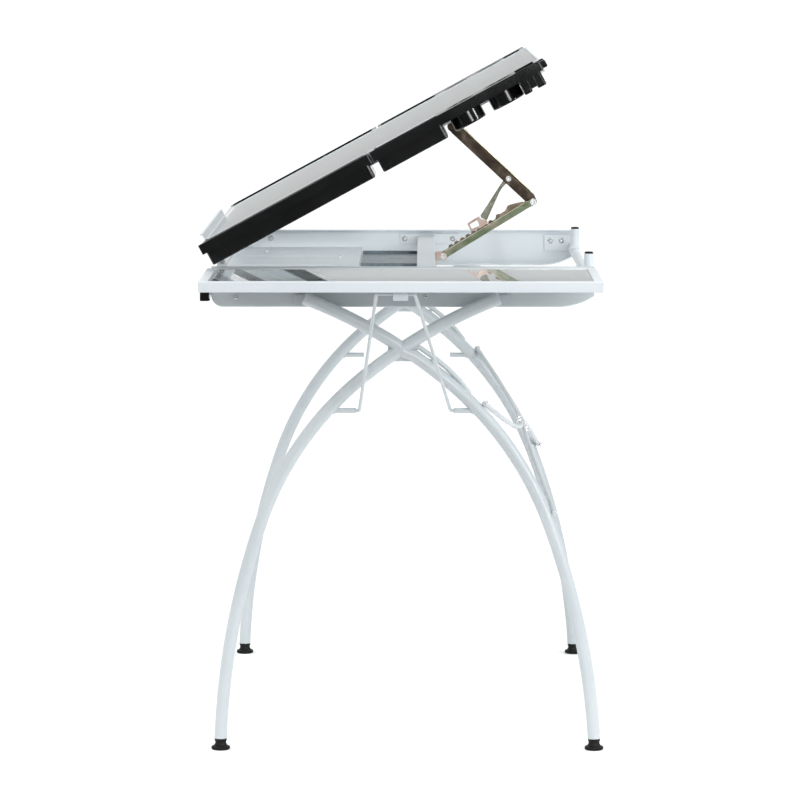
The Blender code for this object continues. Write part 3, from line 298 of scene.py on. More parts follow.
BROWN = zinc_look("brown_zinc", 0.26, 0.46, DRAWN, (
    (0.3, (0.022, 0.016, 0.011)), (0.52, (0.05, 0.036, 0.026)), (0.7, (0.115, 0.088, 0.066)),
))
# Light cream zinc for thin strips on the arms: painted highlight where their edges and web catch the light.
HIGHLIGHT_ZINC = zinc_look("zinc_painted_highlight", 0.24, 0.4, DRAWN, (
    (0.3, (0.62, 0.58, 0.42)), (0.55, (0.74, 0.71, 0.56)), (0.75, (0.8, 0.78, 0.66)),
))
COPPER = zinc_look("copper_zinc", 0.26, 0.44, DRAWN, (
    (0.3, (0.34, 0.24, 0.2)), (0.52, (0.52, 0.38, 0.33)), (0.7, (0.46, 0.44, 0.36)),
))
RACK = zinc_look("rack_zinc", 0.28, 0.46, DRAWN, (
    (0.3, (0.15, 0.12, 0.085)), (0.52, (0.24, 0.19, 0.14)), (0.7, (0.4, 0.31, 0.25)),
))
STEEL = zinc_look("bright_steel", 0.16, 0.34, EVEN, (
    (0.3, (0.5, 0.51, 0.52)), (0.55, (0.66, 0.66, 0.66)), (0.75, (0.72, 0.72, 0.7)),
))
GLASS = glass_look("glass", (0.93, 0.97, 0.96))

# Mesh tools


def arc(centre, radius, start, end, steps):
    angles = [math.radians(start + (end - start) * i / steps) for i in range(steps + 1)]
    return [(centre[0] + radius * math.cos(a), centre[1] + radius * math.sin(a)) for a in angles]


def outwards(bm):
    bmesh.ops.recalc_face_normals(bm, faces=bm.faces)


def around(middle, half):
    return middle - half, middle + half


def grown(span, by):
    return span[0] - by, span[1] + by


def bevelled(bm, width, segments=2, angle=30.0):
    if width > 0.0:
        edges = [e for e in bm.edges if e.is_manifold and e.calc_face_angle(0) > math.radians(angle)]
        bmesh.ops.bevel(bm, geom=edges, offset=width, segments=segments, profile=0.5, affect="EDGES")
    return bm


def rbox(x, y, z, bevel=0.0008, segments=2):
    bm = bmesh.new()
    bmesh.ops.create_cube(bm, size=1.0)
    for vert in bm.verts:
        vert.co = Vector([min(s) + (max(s) - min(s)) * (vert.co[i] + 0.5) for i, s in enumerate((x, y, z))])
    return bevelled(bm, bevel, segments)


def plate(outline, span, axis="y", bevel=0.0005, segments=2):
    """An outline in the plane across an axis, extruded over a span of it, with its rims rounded."""
    bm = bmesh.new()
    put = {
        "y": lambda u, v, w: (u, w, v),
        "x": lambda u, v, w: (w, u, v),
        "z": lambda u, v, w: (u, v, w),
    }[axis]
    rings = [[bm.verts.new(put(u, v, w)) for u, v in outline] for w in span]
    skin(bm, rings)
    outwards(bm)
    return bevelled(bm, bevel, segments, 40.0)


def skin(bm, rings, caps=True):
    for low, high in zip(rings, rings[1:]):
        for i in range(len(low)):
            j = (i + 1) % len(low)
            bm.faces.new((low[i], low[j], high[j], high[i]))
    if caps:
        bm.faces.new(rings[0])
        bm.faces.new(rings[-1])


def facing(place, axis):
    """The frame at a place with its Z along an axis."""
    return Matrix.Translation(place) @ Vector(axis).to_track_quat("Z", "Y").to_matrix().to_4x4()


def lathe(profile, sides=32, start=(0, 0, 0), axis=ALONG_Z):
    """Radius and height pairs spun about an axis."""
    bm = bmesh.new()
    rings = []
    for radius, height in profile:
        ring = []
        for k in range(sides):
            a = 2 * math.pi * k / sides
            ring.append(bm.verts.new((radius * math.cos(a), radius * math.sin(a), height)))
        rings.append(ring)
    skin(bm, rings)
    bm.transform(facing(start, axis))
    return bm


def peg(radius, low, high, sides, place, axis=ALONG_Z):
    """A plain cylinder between two heights along an axis."""
    return lathe(((radius, low), (radius, high)), sides, place, axis)


def drilled(outline, span, hole, axis="y"):
    """A plate with one hole through it and eased rims."""
    return bevelled(boolean(plate(outline, span, axis, 0), [hole]), 0.0004, 2, 50.0)


def pipe(points, radius, sides=24, round_ends=0.0012):
    """A tube along points, its ring carried along without twist, with softly rounded ends."""
    bm = bmesh.new()
    points = [Vector(p) for p in points]
    start, end = (points[1] - points[0]).normalized(), (points[-1] - points[-2]).normalized()
    if round_ends:
        last = points[-1]
        points = [points[0], points[0] + start * round_ends, *points[1:-1], last - end * round_ends, last]
    scale = [1.0] * len(points)
    if round_ends:
        scale[0] = scale[-1] = 1.0 - round_ends / radius
    side = None
    rings = []
    for i, point in enumerate(points):
        ahead = (points[min(i + 1, len(points) - 1)] - points[max(i - 1, 0)]).normalized()
        if side is None:
            side = ahead.orthogonal().normalized() if abs(ahead.y) > 0.9 else Vector(ALONG_Y)
        side = (side - ahead * side.dot(ahead)).normalized()
        other = ahead.cross(side)
        ring = []
        for k in range(sides):
            a = 2 * math.pi * k / sides
            ring.append(bm.verts.new(point + (side * math.cos(a) + other * math.sin(a)) * radius * scale[i]))
        rings.append(ring)
    skin(bm, rings)
    return bm


def smooth_path(corners, radius, steps=8):
    """Straight runs between corners with each corner rounded."""
    corners = [Vector(c) for c in corners]
    points = [corners[0]]
    for before, corner, after in zip(corners, corners[1:], corners[2:]):
        back = (before - corner).normalized() * radius
        ahead = (after - corner).normalized() * radius
        for i in range(steps + 1):
            t = i / steps
            points.append(corner + back * (1 - t) ** 2 + ahead * t * t)
    return points + [corners[-1]]


def boolean(bm, cutters):
    """bm with each cutter taken out of it."""
    def holder(source, name):
        outwards(source)
        return linked(name, mesh_from(source, name))

    base = holder(bm, "base")
    tools = [holder(cutter, "tool") for cutter in cutters]
    for tool in tools:
        modifier = base.modifiers.new("cut", "BOOLEAN")
        modifier.operation = "DIFFERENCE"
        modifier.solver = "EXACT"
        modifier.object = tool
    graph = bpy.context.evaluated_depsgraph_get()
    mesh = bpy.data.meshes.new_from_object(base.evaluated_get(graph))
    result = bmesh.new()
    result.from_mesh(mesh)
    bpy.data.meshes.remove(mesh)
    for obj in [base] + tools:
        old = obj.data
        bpy.data.objects.remove(obj)
        bpy.data.meshes.remove(old)
    bmesh.ops.remove_doubles(result, verts=result.verts, dist=1e-6)
    bmesh.ops.dissolve_limit(result, angle_limit=math.radians(0.5), verts=result.verts, edges=result.edges)
    return result


def piece(name, parts, material, body, replaces=(), matrix=TABLE, sharp=38.0):
    """Joins parts into one shown object, places it and lets it ride on its body."""
    whole = bmesh.new()
    for part in parts:
        outwards(part)
        mesh = mesh_from(part, "part")
        whole.from_mesh(mesh)
        bpy.data.meshes.remove(mesh)
    whole.transform(matrix)
    if matrix.determinant() < 0.0:
        bmesh.ops.reverse_faces(whole, faces=whole.faces)
    mesh = mesh_from(whole, name)
    mesh.shade_smooth()
    mesh.set_sharp_from_angle(angle=math.radians(sharp))
    mesh.materials.append(material)
    obj = linked(name, mesh)
    modifier = obj.modifiers.new("weighted", "WEIGHTED_NORMAL")
    modifier.keep_sharp = True
    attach(obj, body)
    if replaces:
        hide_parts(*replaces)


def node_piece(node, parts, material, body="stand", matrix=TABLE, sharp=38.0):
    """The detailed piece that takes the place of one CAD node."""
    piece(f"{node}_look", parts, material, body, [node], matrix, sharp)


# Fasteners


def hex_head(place, axis, radius, height):
    """A hexagon nut with chamfered corners on a washer, the bolt's domed end in its middle."""
    nut = lathe(((radius, 0), (radius, height * 0.8), (radius * 0.84, height)), 6, place, axis)
    washer = lathe(
        ((radius * 1.25, -0.0002), (radius * 1.3, 0.0001), (radius * 1.3, 0.0005), (radius * 1.22, 0.0007)), 28,
        place, axis
    )
    dome = [
        (radius * 0.55 * math.cos(a), height + radius * 0.34 * math.sin(a)) for a in (0, 0.35, 0.7, 1.05, 1.4)
    ]
    return [nut, washer, lathe([(radius * 0.55, height * 0.6)] + dome, 28, place, axis)]


def screw_head(place, axis, radius):
    """A domed head with a cross recess."""
    profile = [(radius, 0), (radius, radius * 0.18)]
    profile += [
        (radius * math.cos(math.radians(a)), radius * (0.18 + 0.42 * math.sin(math.radians(a))))
        for a in (20, 40, 60, 78)
    ]
    dome = lathe(profile, 28)
    slot = radius * 0.13
    arm = radius * 0.55
    deep = (radius * 0.28, radius)
    dome = boolean(dome, [rbox((-arm, arm), (-slot, slot), deep, 0), rbox((-slot, slot), (-arm, arm), deep, 0)])
    dome.transform(facing(place, axis))
    return [dome]


def rivet(place, axis, radius, height):
    """A turned pin end: flat rim, dished middle."""
    profile = ((radius * 0.96, 0), (radius, height * 0.2), (radius, height * 0.7), (radius * 0.86, height))
    profile += ((radius * 0.45, height), (radius * 0.38, height * 0.55), (radius * 0.08, height * 0.5))
    return [lathe(profile, 32, place, axis)]


# Legs

LEG_Y = 0.437
LEG_R = 0.01
LEG_FOOT = (0.2935, 0.018)
LEG_ARCS = ((0.3514, -16.8, 20), (0.274, -30.5, 30), (0.257, -18.8, 20))
LEG_SHIFT, LEG_LEAN = 0.002, 0.0125
SOCKET_END_X = 0.0765
ROD_LINE = ((0.556, 0.008), (0.573, 0.0128), (0.59, 0.0155), (0.606, 0.0163), (0.622, 0.016))
PAD = (
    (0.0128, 0), (0.0138, 0.0007), (0.014, 0.0016), (0.014, 0.0048), (0.0134, 0.0057), (0.0122, 0.0062),
    (0.01, 0.0063)
)
PAD_COLLAR = (
    (0.01, 0.006), (0.0098, 0.0085), (0.0088, 0.01), (0.0088, 0.0135), (0.0097, 0.0142), (0.0097, 0.0168),
    (0.009, 0.0174)
)
SIDES, ENDS = ((-1, "near"), (1, "far")), ((-1, "front"), (1, "back"))
CORNERS = [(side * LEG_Y, where, side_x, end) for side, where in SIDES for side_x, end in ENDS]


def leg_line():
    """Positions and headings up one leg, X outwards from the pair's middle, before its lean."""
    x, z = LEG_FOOT
    angle = math.radians(87.0)
    line = [(x, z, angle)]
    for length, turn, steps in LEG_ARCS:
        for _ in range(steps):
            half = math.radians(turn) / steps / 2
            x -= length / steps * math.cos(angle + half)
            z += length / steps * math.sin(angle + half)
            angle += 2 * half
            line.append((x, z, angle))
    return line


def leg_place(x, z, side_x, y):
    return Vector((side_x * x + LEG_SHIFT - LEG_LEAN * z, y, z))


def leg_at(height, out, side_x, y):
    """A point at a height and a distance out from the leg's middle line."""
    line = leg_line()
    for (x0, z0, a0), (x1, z1, a1) in zip(line, line[1:]):
        if z0 <= height <= z1:
            part = (height - z0) / (z1 - z0)
            angle = a0 + part * (a1 - a0)
            x = x0 + part * (x1 - x0) + out * math.sin(angle)
            return leg_place(x, height + out * math.cos(angle), side_x, y)
    return None


def legs():
    line = leg_line()
    cross_z = next(z0 for (x0, z0, _), (x1, _, _) in zip(line, line[1:]) if x0 >= 0 >= x1)
    for y, where, side_x, end in CORNERS:
        out = math.copysign(1.0, y)
        points = [leg_place(x, z, side_x, y) for x, z, _ in line]
        foot, tip = points[0], points[-1]
        parts = []
        if end == "front":
            parts.append(pipe(points, LEG_R, 32))
            middle = leg_place(0, cross_z, 1, y)
            w, h, c = 0.023, 0.016, 0.008
            gusset = [
                (w, h - c), (w - c, h), (c - w, h), (-w, h - c), (-w, c - h), (c - w, -h), (w - c, -h), (w, c - h)
            ]
            gusset = [(middle.x + u, middle.z + v) for u, v in gusset]
            parts.append(plate(gusset, around(y, 0.0015), bevel=0.0008, segments=3))
        else:
            low = [p for p in points if p.z < cross_z - 0.004] + [leg_place(0, cross_z, 1, y)]
            high = [leg_place(0, cross_z, 1, y)] + [p for p in points if p.z > cross_z + 0.004]
            parts.append(pipe(low, LEG_R, 32, 0))
            upper = [pipe(high, LEG_R * 0.998, 32)]
            upper += end_tab(tip, y, out)
            node_piece(f"leg_{where}_back_upper", upper, SHADED_PAINT)
            rod = [leg_at(z, d, 1, y) for z, d in ROD_LINE]
            rod.append(rod[-1] + Vector((-0.011, 0, -0.0015)))
            rod.append(rod[-1] + Vector((-0.011, 0, -0.0025)))
            parts.append(pipe(rod, 0.004, 16))
            for k in (0, 3):
                parts.append(weld_bead(rod[k] - Vector((0.004, 0, 0.004)), 0.0052))
        if end == "front":
            parts += end_tab(tip, y, out)
        socket_x = side_x * SOCKET_END_X + LEG_SHIFT - 0.004
        leg_x = leg_at(STAY_PIVOT.z, 0, side_x, y).x
        mouth, away = (socket_x, y, STAY_PIVOT.z), (side_x, 0, 0)
        socket = [(0.0031, 0.01), (0.0031, 0), (0.0038, -0.0004), (0.0042, 0.0004)]
        parts.append(lathe(socket + [(0.0042, abs(leg_x - socket_x))], 24, mouth, away))
        parts.append(weld_bead(Vector((leg_x - side_x * 0.0106, y, STAY_PIVOT.z)), 0.0052, away))
        collar = ((0.0096, 0), (0.0104, 0.0008), (0.0104, 0.0022), (0.0099, 0.003))
        parts.append(lathe(collar, 32, (foot.x, y, foot.z - 0.0004)))
        node_piece(f"leg_{where}_{end}", parts, SHADED_PAINT)


def weld_bead(place, radius, axis=ALONG_Z):
    """A low lumpy ring of weld round a joint."""
    profile = [
        (radius * 0.7, -0.0016), (radius, -0.0009), (radius * 1.06, 0), (radius, 0.0009), (radius * 0.7, 0.0016)
    ]
    bead = lathe(profile, 28, place, axis)
    for i, vert in enumerate(bead.verts):
        vert.co += (vert.co - Vector(place)) * 0.05 * math.sin(i * 2.4)
    return bead


def end_tab(tip, y, out):
    """The flattened tube end that bolts to the side panel."""
    inner, outer = y - out * 0.0102, y - out * 0.0045
    tab = [(tip.x - 0.015, tip.z - 0.0085), (tip.x + 0.015, tip.z - 0.0085), (tip.x + 0.015, tip.z + 0.003)]
    tab += [(tip.x + 0.013, tip.z + 0.005), (tip.x - 0.013, tip.z + 0.005), (tip.x - 0.015, tip.z + 0.003)]
    return [plate(tab, (inner, outer), bevel=0.0009, segments=3)]


def levelers():
    for y, where, side_x, end in CORNERS:
        x = leg_place(*LEG_FOOT, side_x, y).x
        parts = [lathe(PAD, 48, (x, y, 0)), lathe(PAD_COLLAR, 40, (x, y, 0))]
        for k in range(20):
            a = 2 * math.pi * k / 20
            rib = rbox((0.0134, 0.0146), (-0.0007, 0.0007), (0.0012, 0.005), 0.0003)
            rib.transform(Matrix.Translation((x, y, 0)) @ Matrix.Rotation(a, 4, "Z"))
            parts.append(rib)
        parts.append(peg(0.004, 0.016, 0.04, 20, (x, y, 0)))
        name = f"leveler_{where}_{end}"
        node_piece(name, parts, FOOT_BLACK, name)


# Base frame

PANEL = {"front": -0.3035, "back": 0.2926, "top": 0.7596, "low": 0.697}
PANEL_FACE, PANEL_SHEET, PANEL_RIM = 0.4265, 0.002, 0.014
PANEL_INSIDE = PANEL_FACE - PANEL_SHEET - GAP
SWEEP, SWEEP_ANGLE = 0.1083, 32.4


def panel_outline(inset):
    corner = (PANEL["front"] + 0.018, PANEL["low"] + 0.018)
    sweep = (PANEL["back"] - SWEEP * math.sin(math.radians(SWEEP_ANGLE)), PANEL["low"] + SWEEP)
    outline = arc(corner, 0.018 - inset, 180, 270, 12)
    outline += arc(sweep, SWEEP - inset, 270, 270 + SWEEP_ANGLE, 16)
    outline[-1] = (PANEL["back"], outline[-1][1])
    top = PANEL["top"] - inset
    return outline + [(PANEL["back"], top), (PANEL["front"] + inset, top)]


def side_panels():
    """Each panel is one bent sheet: web, rounded bend, rim turned in, open at its back end."""
    bend = 0.0026
    profile = [(bend * (1 - math.sin(a)), bend * (1 - math.cos(a))) for a in (0, 0.4, 0.8, 1.2, math.pi / 2)]
    profile += [
        (0, PANEL_RIM - 0.0004), (0.0004, PANEL_RIM), (PANEL_SHEET - 0.0004, PANEL_RIM),
        (PANEL_SHEET, PANEL_RIM - 0.0004)
    ]
    profile += [
        (PANEL_SHEET, PANEL_SHEET + 0.0012), (PANEL_SHEET + 0.0004, PANEL_SHEET + 0.0004),
        (PANEL_SHEET + 0.0012, PANEL_SHEET)
    ]
    for side, where in SIDES:
        bm = bmesh.new()
        rings = [
            [bm.verts.new((x, side * (PANEL_FACE - depth), z)) for x, z in panel_outline(inset)]
            for inset, depth in profile
        ]
        count = len(rings[0])
        for low, high in zip(rings, rings[1:]):
            for i in range(count):
                if i != count - 3:
                    j = (i + 1) % count
                    bm.faces.new((low[i], low[j], high[j], high[i]))
        bm.faces.new(rings[0])
        bm.faces.new(rings[-1])
        bm.faces.new([ring[count - 3] for ring in rings] + [ring[count - 2] for ring in reversed(rings)])
        # The near panel takes the darker paint copy: painted shade where the shelf shades it.
        node_piece(f"side_panel_{where}", [bm], SHADED_PAINT if where == "near" else PAINT)


def base_frame():
    inner = PANEL_FACE - PANEL_RIM - 0.0005
    sheet = 0.0015
    front, back = -0.2985, -0.08
    pan = [rbox((front, back), (-inner, inner), (PAN_TOP - sheet, PAN_TOP), 0.0006)]
    for x in (front, back - sheet):
        pan.append(rbox((x, x + sheet), (-inner, inner), (PAN_TOP - 0.012, PAN_TOP - 0.0004), 0.0005))
    for y in (-0.2, 0, 0.2):
        bead_z = around(PAN_TOP, 0.0006)
        pan.append(rbox((front + 0.02, back - 0.02), around(y, 0.002), bead_z, 0.0005, 3))
    node_piece("floor_pan", pan, PAINT)

    lip_top = 0.729
    low = lip_top - 0.0065
    x, y = (-0.0785, 0.016), (0.041, 0.335)
    steel = rbox(x, y, (low, low + sheet), 0)
    steel = boolean(steel, [peg(0.0022, -0.01, 0.01, 24, (px, 0.14, low)) for px in (-0.045, -0.008)])
    lips = [rbox(x, (a, a + sheet), (low + 0.0006, lip_top), 0.0005) for a in (y[0], y[1] - sheet)]
    for lip_y in ((y[0], y[0] + 0.006), (y[1] - 0.006, y[1])):
        lips.append(rbox(x, lip_y, (lip_top - 0.0012, lip_top), 0.0005))
    node_piece("steel_plate", [bevelled(steel, 0.0002, 1)] + lips, GALVANISED)

    reach = PANEL_FACE - PANEL_SHEET - 0.0013
    rail = [rbox((0.0165, 0.0465), (-reach, reach), (0.7245, 0.7495), 0.0022, 4)]
    tube_line = [(REAR_TUBE_X, -reach, REAR_TUBE_Z), (REAR_TUBE_X, reach, REAR_TUBE_Z)]
    tube = [pipe(tube_line, 0.008, 32)]
    for side, where in SIDES:
        wall = (side * PANEL_INSIDE, side * (PANEL_FACE - 2 * PANEL_SHEET - GAP))
        rail.append(rbox((-0.0144, 0.09), wall, (0.7347, 0.7524), 0.0007, 3))
        tube.append(rbox((0.2403, 0.2975), wall, (0.722, 0.7507), 0.0007, 3))
        post = [(0.008, 0), (0.0077, 0.0016), (0.0077, 0.0403), (0.0073, 0.0411)]
        tube.append(lathe(post, 32, (REAR_TUBE_X, side * POST_Y, REAR_TUBE_Z)))
        bead = [(0.0084, -0.0008), (0.0093, 0.0006), (0.0088, 0.0022), (0.0079, 0.0032)]
        tube.append(lathe(bead, 32, (REAR_TUBE_X, side * POST_Y, 0.7366)))
        cap = ((0.006, 0.769), (0.0068, 0.7708), (0.0069, 0.7722), (0.0062, 0.7732), (0.004, 0.7737))
        node_piece(f"post_cap_{where}", [lathe(cap, 32, (REAR_TUBE_X, side * POST_Y, 0))], FOOT_BLACK)
    node_piece("mid_rail", rail, PAINT)
    node_piece("back_tube", tube, PAINT)

    x, z, y = (-0.3205, -0.306), (0.7075, 0.722), 0.44
    front_parts = [rbox(x, (-y, y), z, 0.0018, 4)]
    for side, where in SIDES:
        front_parts.append(rbox(
            (x[1] - 0.001, PANEL["front"] - GAP), (side * 0.4135, side * 0.4255), (0.715, 0.721), 0.0008
        ))
        start = side * (y + GAP)
        cap = [rbox(x, (start, start + side * 0.003), z, 0.001, 3)]
        cap.append(rbox(
            grown(x, -0.002), (start + side * 0.0026, start + side * 0.0036), grown(z, -0.002), 0.0004
        ))
        cap.append(rbox(
            (x[1] - 0.0012, x[1] + 0.0016), (start, start + side * 0.0026), (z[0] + 0.0012, z[0] + 0.0042), 0.0006
        ))
        node_piece(f"front_tube_cap_{where}", cap, TRAY_BLACK)
    node_piece("front_tube", front_parts, PAINT)


BRACE_R, BRACE_MEETS = 0.004, Vector((0.1914, 0, 0.4636))


def braces():
    ends = [leg_at(z, LEG_R + BRACE_R + GAP, 1, LEG_Y) for z in (0.5385, 0.3705)]
    axis = ends[0] - ends[1]
    axis.y = 0.0
    axis.normalize()
    for end, side, name in zip(ends, (1, -1), ("brace_upper", "brace_lower")):
        middle = BRACE_MEETS + axis * side * (BRACE_R + GAP)
        points = []
        for i in range(-36, 37):
            part = i / 36
            place = middle.lerp(Vector((end.x, 0, end.z)), part * part)
            place.y = part * (LEG_Y + 0.006)
            points.append(place)
        node_piece(name, [pipe(points, BRACE_R, 24)], SHADED_PAINT)
        bolts = []
        for side_y in (-1, 1):
            seat = Vector((end.x, side_y * LEG_Y, end.z))
            away = seat - leg_at(end.z, 0, 1, side_y * LEG_Y)
            away.y = 0.0
            away.normalize()
            bolts += screw_head(seat + away * (BRACE_R - 0.0004), away, 0.0042)
        piece(f"{name}_end_screws", bolts, STEEL, "stand")
    reach = 2 * BRACE_R + 0.0009
    for side, where in SIDES:
        middle = BRACE_MEETS + Vector((0, side * 0.02, 0))
        parts = hex_head(middle + axis * reach, axis, 0.0042, 0.003)
        parts += hex_head(middle - axis * reach, -axis, 0.0044, 0.0034)
        shank = peg(0.0022, -reach - 0.0045, reach + 0.001, 20, middle, axis)
        node_piece(f"brace_bolt_{where}", parts + [shank], STEEL)


def stand_fasteners():
    """Screws and bolts through the panels, pan and brackets."""
    near, far = -PANEL_FACE, PANEL_FACE - PANEL_SHEET
    parts = []
    for x, z in ((-0.2655, 0.7125), (0.03, 0.714)):
        parts += screw_head((x, near, z), (0, -1.0, 0), 0.0036)
    for side in (-1, 1):
        y = side * (far - 0.0022)
        for x, z in ((-0.006, 0.7436), (0.079, 0.7436), (0.251, 0.74), (0.271, 0.74)):
            parts += hex_head((x, y, z), (0, -side, 0), 0.004, 0.0026)
        parts += hex_head((-0.242, side * (far - 0.0001), 0.744), (0, -side, 0), 0.004, 0.0024)
    for x, y in ((-0.244, 0.3), (-0.114, 0.18), (-0.244, -0.3), (-0.114, -0.18)):
        parts += screw_head((x, y, PAN_TOP), ALONG_Z, 0.0042)
    piece("stand_screws", parts, STEEL, "stand")


# Tilting top

TOP_FRONT, TOP_BACK, TOP_HALF = -0.0073, 0.5857, 0.392
UNDER, RAIL_UNDER, SURFACE, RAIL = 0.008, 0.019, 0.0408, 0.024
REBATE = 0.0353
CROSS_BARS = {"front": 0.19, "back": 0.453}


def cut_box(x, y, z, cutters, bevel, segments=3):
    return bevelled(boolean(rbox(x, y, z, 0), [rbox(*cutter, 0) for cutter in cutters]), bevel, segments)


def top_frame():
    body = "top"
    lip = 0.003
    rebate = ((TOP_FRONT + lip, TOP_BACK - lip), (lip - TOP_HALF, TOP_HALF - lip), (REBATE, SURFACE + 0.01))
    inner = TOP_HALF - RAIL
    for side, where in SIDES:
        parts = [cut_box(
            (TOP_FRONT, TOP_BACK), (side * inner, side * TOP_HALF), (RAIL_UNDER, SURFACE), [rebate], 0.0009
        )]
        ear = arc((0, 0), 0.0063, 180, 360, 18) + [(0.0063, 0.014), (0.0095, 0.02), (-0.0063, 0.02)]
        parts.append(plate(ear, (side * 0.382, side * 0.385)))
        node_piece(f"top_rail_{where}", parts, PAINT, body, TOP)
    inner -= GAP
    for end, x in (("front", (TOP_FRONT, TOP_FRONT + RAIL)), ("back", (TOP_BACK - RAIL, TOP_BACK))):
        parts = [cut_box(x, (-inner, inner), (RAIL_UNDER, SURFACE), [rebate], 0.0009)]
        if end == "back":
            parts.append(rbox((x[0] + 0.0002, 0.5775), (-inner, inner), (UNDER, RAIL_UNDER + 0.002), 0.0012, 3))
        node_piece(f"top_rail_{end}", parts, PAINT, body, TOP)
    for end, x in CROSS_BARS.items():
        parts = [rbox(around(x, 0.013), (-inner, inner), (UNDER, 0.0305), 0.002, 4)]
        for side in (-1, 1):
            for dx in (-0.009, 0.009):
                weld_y = (side * (inner - 0.004), side * (inner - 0.0002))
                parts.append(rbox(around(x + dx, 0.0034), weld_y, (0.0262, 0.0322), 0.0009))
        node_piece(f"cross_bar_{end}", parts, PAINT, body, TOP)
    pane = rbox(grown(rebate[0], -GAP), grown(rebate[1], -GAP), (REBATE + GAP, REBATE + 0.0045), 0.0006)
    node_piece("top_glass", [pane], GLASS, body, TOP)

    x0, z0 = 0.4116, -0.0035
    face = CROSS_BARS["back"] - 0.013
    ear = arc((x0, z0), 0.008, 90, 270, 28) + [(face - GAP, 0.0085), (face - GAP, 0.028), (x0 + 0.015, 0.028)]
    parts = [rbox((face - 0.0021, face - GAP), (-0.0112, 0.0112), (0.0088, 0.0277), 0.0006, 3)]
    for low, high in ((-0.0112, -0.0092), (0.0092, 0.0112)):
        hole = peg(0.0033, -0.02, 0.02, 36, (x0, 0, z0), ALONG_Y)
        parts.append(drilled(ear, (low, high), hole))
    for side in (-1, 1):
        parts += screw_head((face - 0.0021, side * 0.0058, 0.023), (-1.0, 0, 0), 0.0026)
    node_piece("arm_hanger", parts, BROWN, body, TOP)


def pencil_ledge():
    """A bent strip: flange down the front edge, rounded bend, narrow nose turned out."""
    top, sheet, bend = 0.0108, 0.0018, 0.0024
    outline = [(0, 0.015 - SURFACE), (0, top - bend)]
    outline += [
        (bend * (math.cos(a) - 1), top - bend + bend * math.sin(a)) for a in (0.3, 0.6, 0.9, 1.2, math.pi / 2)
    ]
    outline += [
        (-0.005, top), (-0.0053, top - 0.0004), (-0.0053, top - 0.0014), (-0.005, top - sheet),
        (-bend, top - sheet)
    ]
    outline += [(-sheet, top - bend), (-sheet, 0.015 - SURFACE)]
    strip = plate([(TOP_FRONT - 0.0005 + u, SURFACE + v) for u, v in outline], (-0.365, 0.245), bevel=0.0004)
    screws = []
    for y in (-0.26, 0.14):
        screws += screw_head((TOP_FRONT - 0.0023, y, 0.0215), (-1.0, 0, 0), 0.003)
    node_piece("pencil_ledge", [strip], PAINT, "pencil_ledge", TOP)
    piece("pencil_ledge_screws", screws, STEEL, "pencil_ledge", [], TOP)


def pivot_brackets():
    x, z = TILT_PIVOT.x, TILT_PIVOT.z
    for side, where in SIDES:
        name = f"pivot_bracket_{where}"
        low, high = side * 0.3855, side * 0.3885
        wall = side * PANEL_INSIDE
        outline = arc((x, z), 0.0063, 0, 180, 24) + [
            (x - 0.01, 0.744), (x - 0.01, 0.7366), (x + 0.01, 0.7366), (x + 0.01, 0.744)
        ]
        parts = [plate(outline, (low, high), segments=3)]
        parts.append(rbox(around(x, 0.01), (low, wall), (0.7365, 0.739), 0.0008, 3))
        parts.append(rbox(around(x, 0.01), (wall, wall - side * PANEL_SHEET), (0.7366, 0.755), 0.0008, 3))
        pin = ((0.0027, 0), (0.003, 0.0006), (0.003, 0.0062))
        parts.append(lathe(pin, 28, (x, side * 0.3792, z), (0, side, 0)))
        node_piece(name, parts, PAINT)
        parts = rivet((x, high, z), (0, side, 0), 0.005, 0.0028)
        parts += screw_head((x, wall - side * PANEL_SHEET, 0.749), (0, -side, 0), 0.0034)
        piece(f"{name}_fasteners", parts, STEEL, "stand")


# Trays

TRAY_IN, TRAY_OUT = 0.3925, 0.52
TRAY_Y = (-TRAY_OUT, -TRAY_IN)
FRONT_TRAY_X, FRONT_DIVIDER_X, BACK_TRAY_X = (-0.0105, 0.2852), 0.18, (0.2882, 0.5825)
INNER_DROP, FAR_DROP = 0.0045, 0.003
TRAY_TOP, TRAY_FLOOR, TRAY_WALL = 0.0433, 0.0055, 0.002
SKIRT, INSET = 0.016, 0.006
BOX_CELL = (0.2937, 0.4061)
CUPS = ((0.4462, 0.0263), (0.5125, 0.0268))
PEN_BLOCK, PEN_STEP = (0.5402, 0.5757), 0.0039
PEN_COLUMNS = ((0.5402, 0.552), (0.5628, 0.5757))
MIRROR = Matrix.Scale(-1.0, 4, ALONG_Y)


def rounded(x, y, radius, steps=6):
    """A rectangle outline with rounded corners."""
    (x0, x1), (y0, y1) = x, y
    outline = arc((x1 - radius, y1 - radius), radius, 0, 90, steps)
    outline += arc((x0 + radius, y1 - radius), radius, 90, 180, steps)
    outline += arc((x0 + radius, y0 + radius), radius, 180, 270, steps)
    return outline + arc((x1 - radius, y0 + radius), radius, 270, 360, steps)


def ring_of(bm, x, y, inset, radius, z):
    """A rounded rectangle of vertices, its sides and corner radius taken in by an inset."""
    return [bm.verts.new((u, v, z)) for u, v in rounded(grown(x, -inset), grown(y, -inset), radius)]


def well(x, y, radius, floor=TRAY_FLOOR, top=TRAY_TOP - 0.001):
    """A moulded well: outer skin, rounded foot, open inside with a filleted floor."""
    foot = 0.0022
    skins = []
    for depth in (0, 0.35, 0.7, 1.0):
        a = depth * math.pi / 2
        skins.append((foot * (1 - math.sin(a)), floor + foot * (1 - math.cos(a))))
    skins += [(0, top - 0.001), (0.0004, top)]
    wall = TRAY_WALL
    skins += [(wall - 0.0004, top), (wall, top - 0.001)]
    inner_floor = floor + 0.002
    for depth in (1.0, 0.7, 0.35, 0):
        a = depth * math.pi / 2
        skins.append((wall + foot * (1 - math.sin(a)), inner_floor + foot * (1 - math.cos(a))))
    bm = bmesh.new()
    skin(bm, [ring_of(bm, x, y, inset, max(radius - inset, 0.0008), z) for inset, z in skins])
    return bm


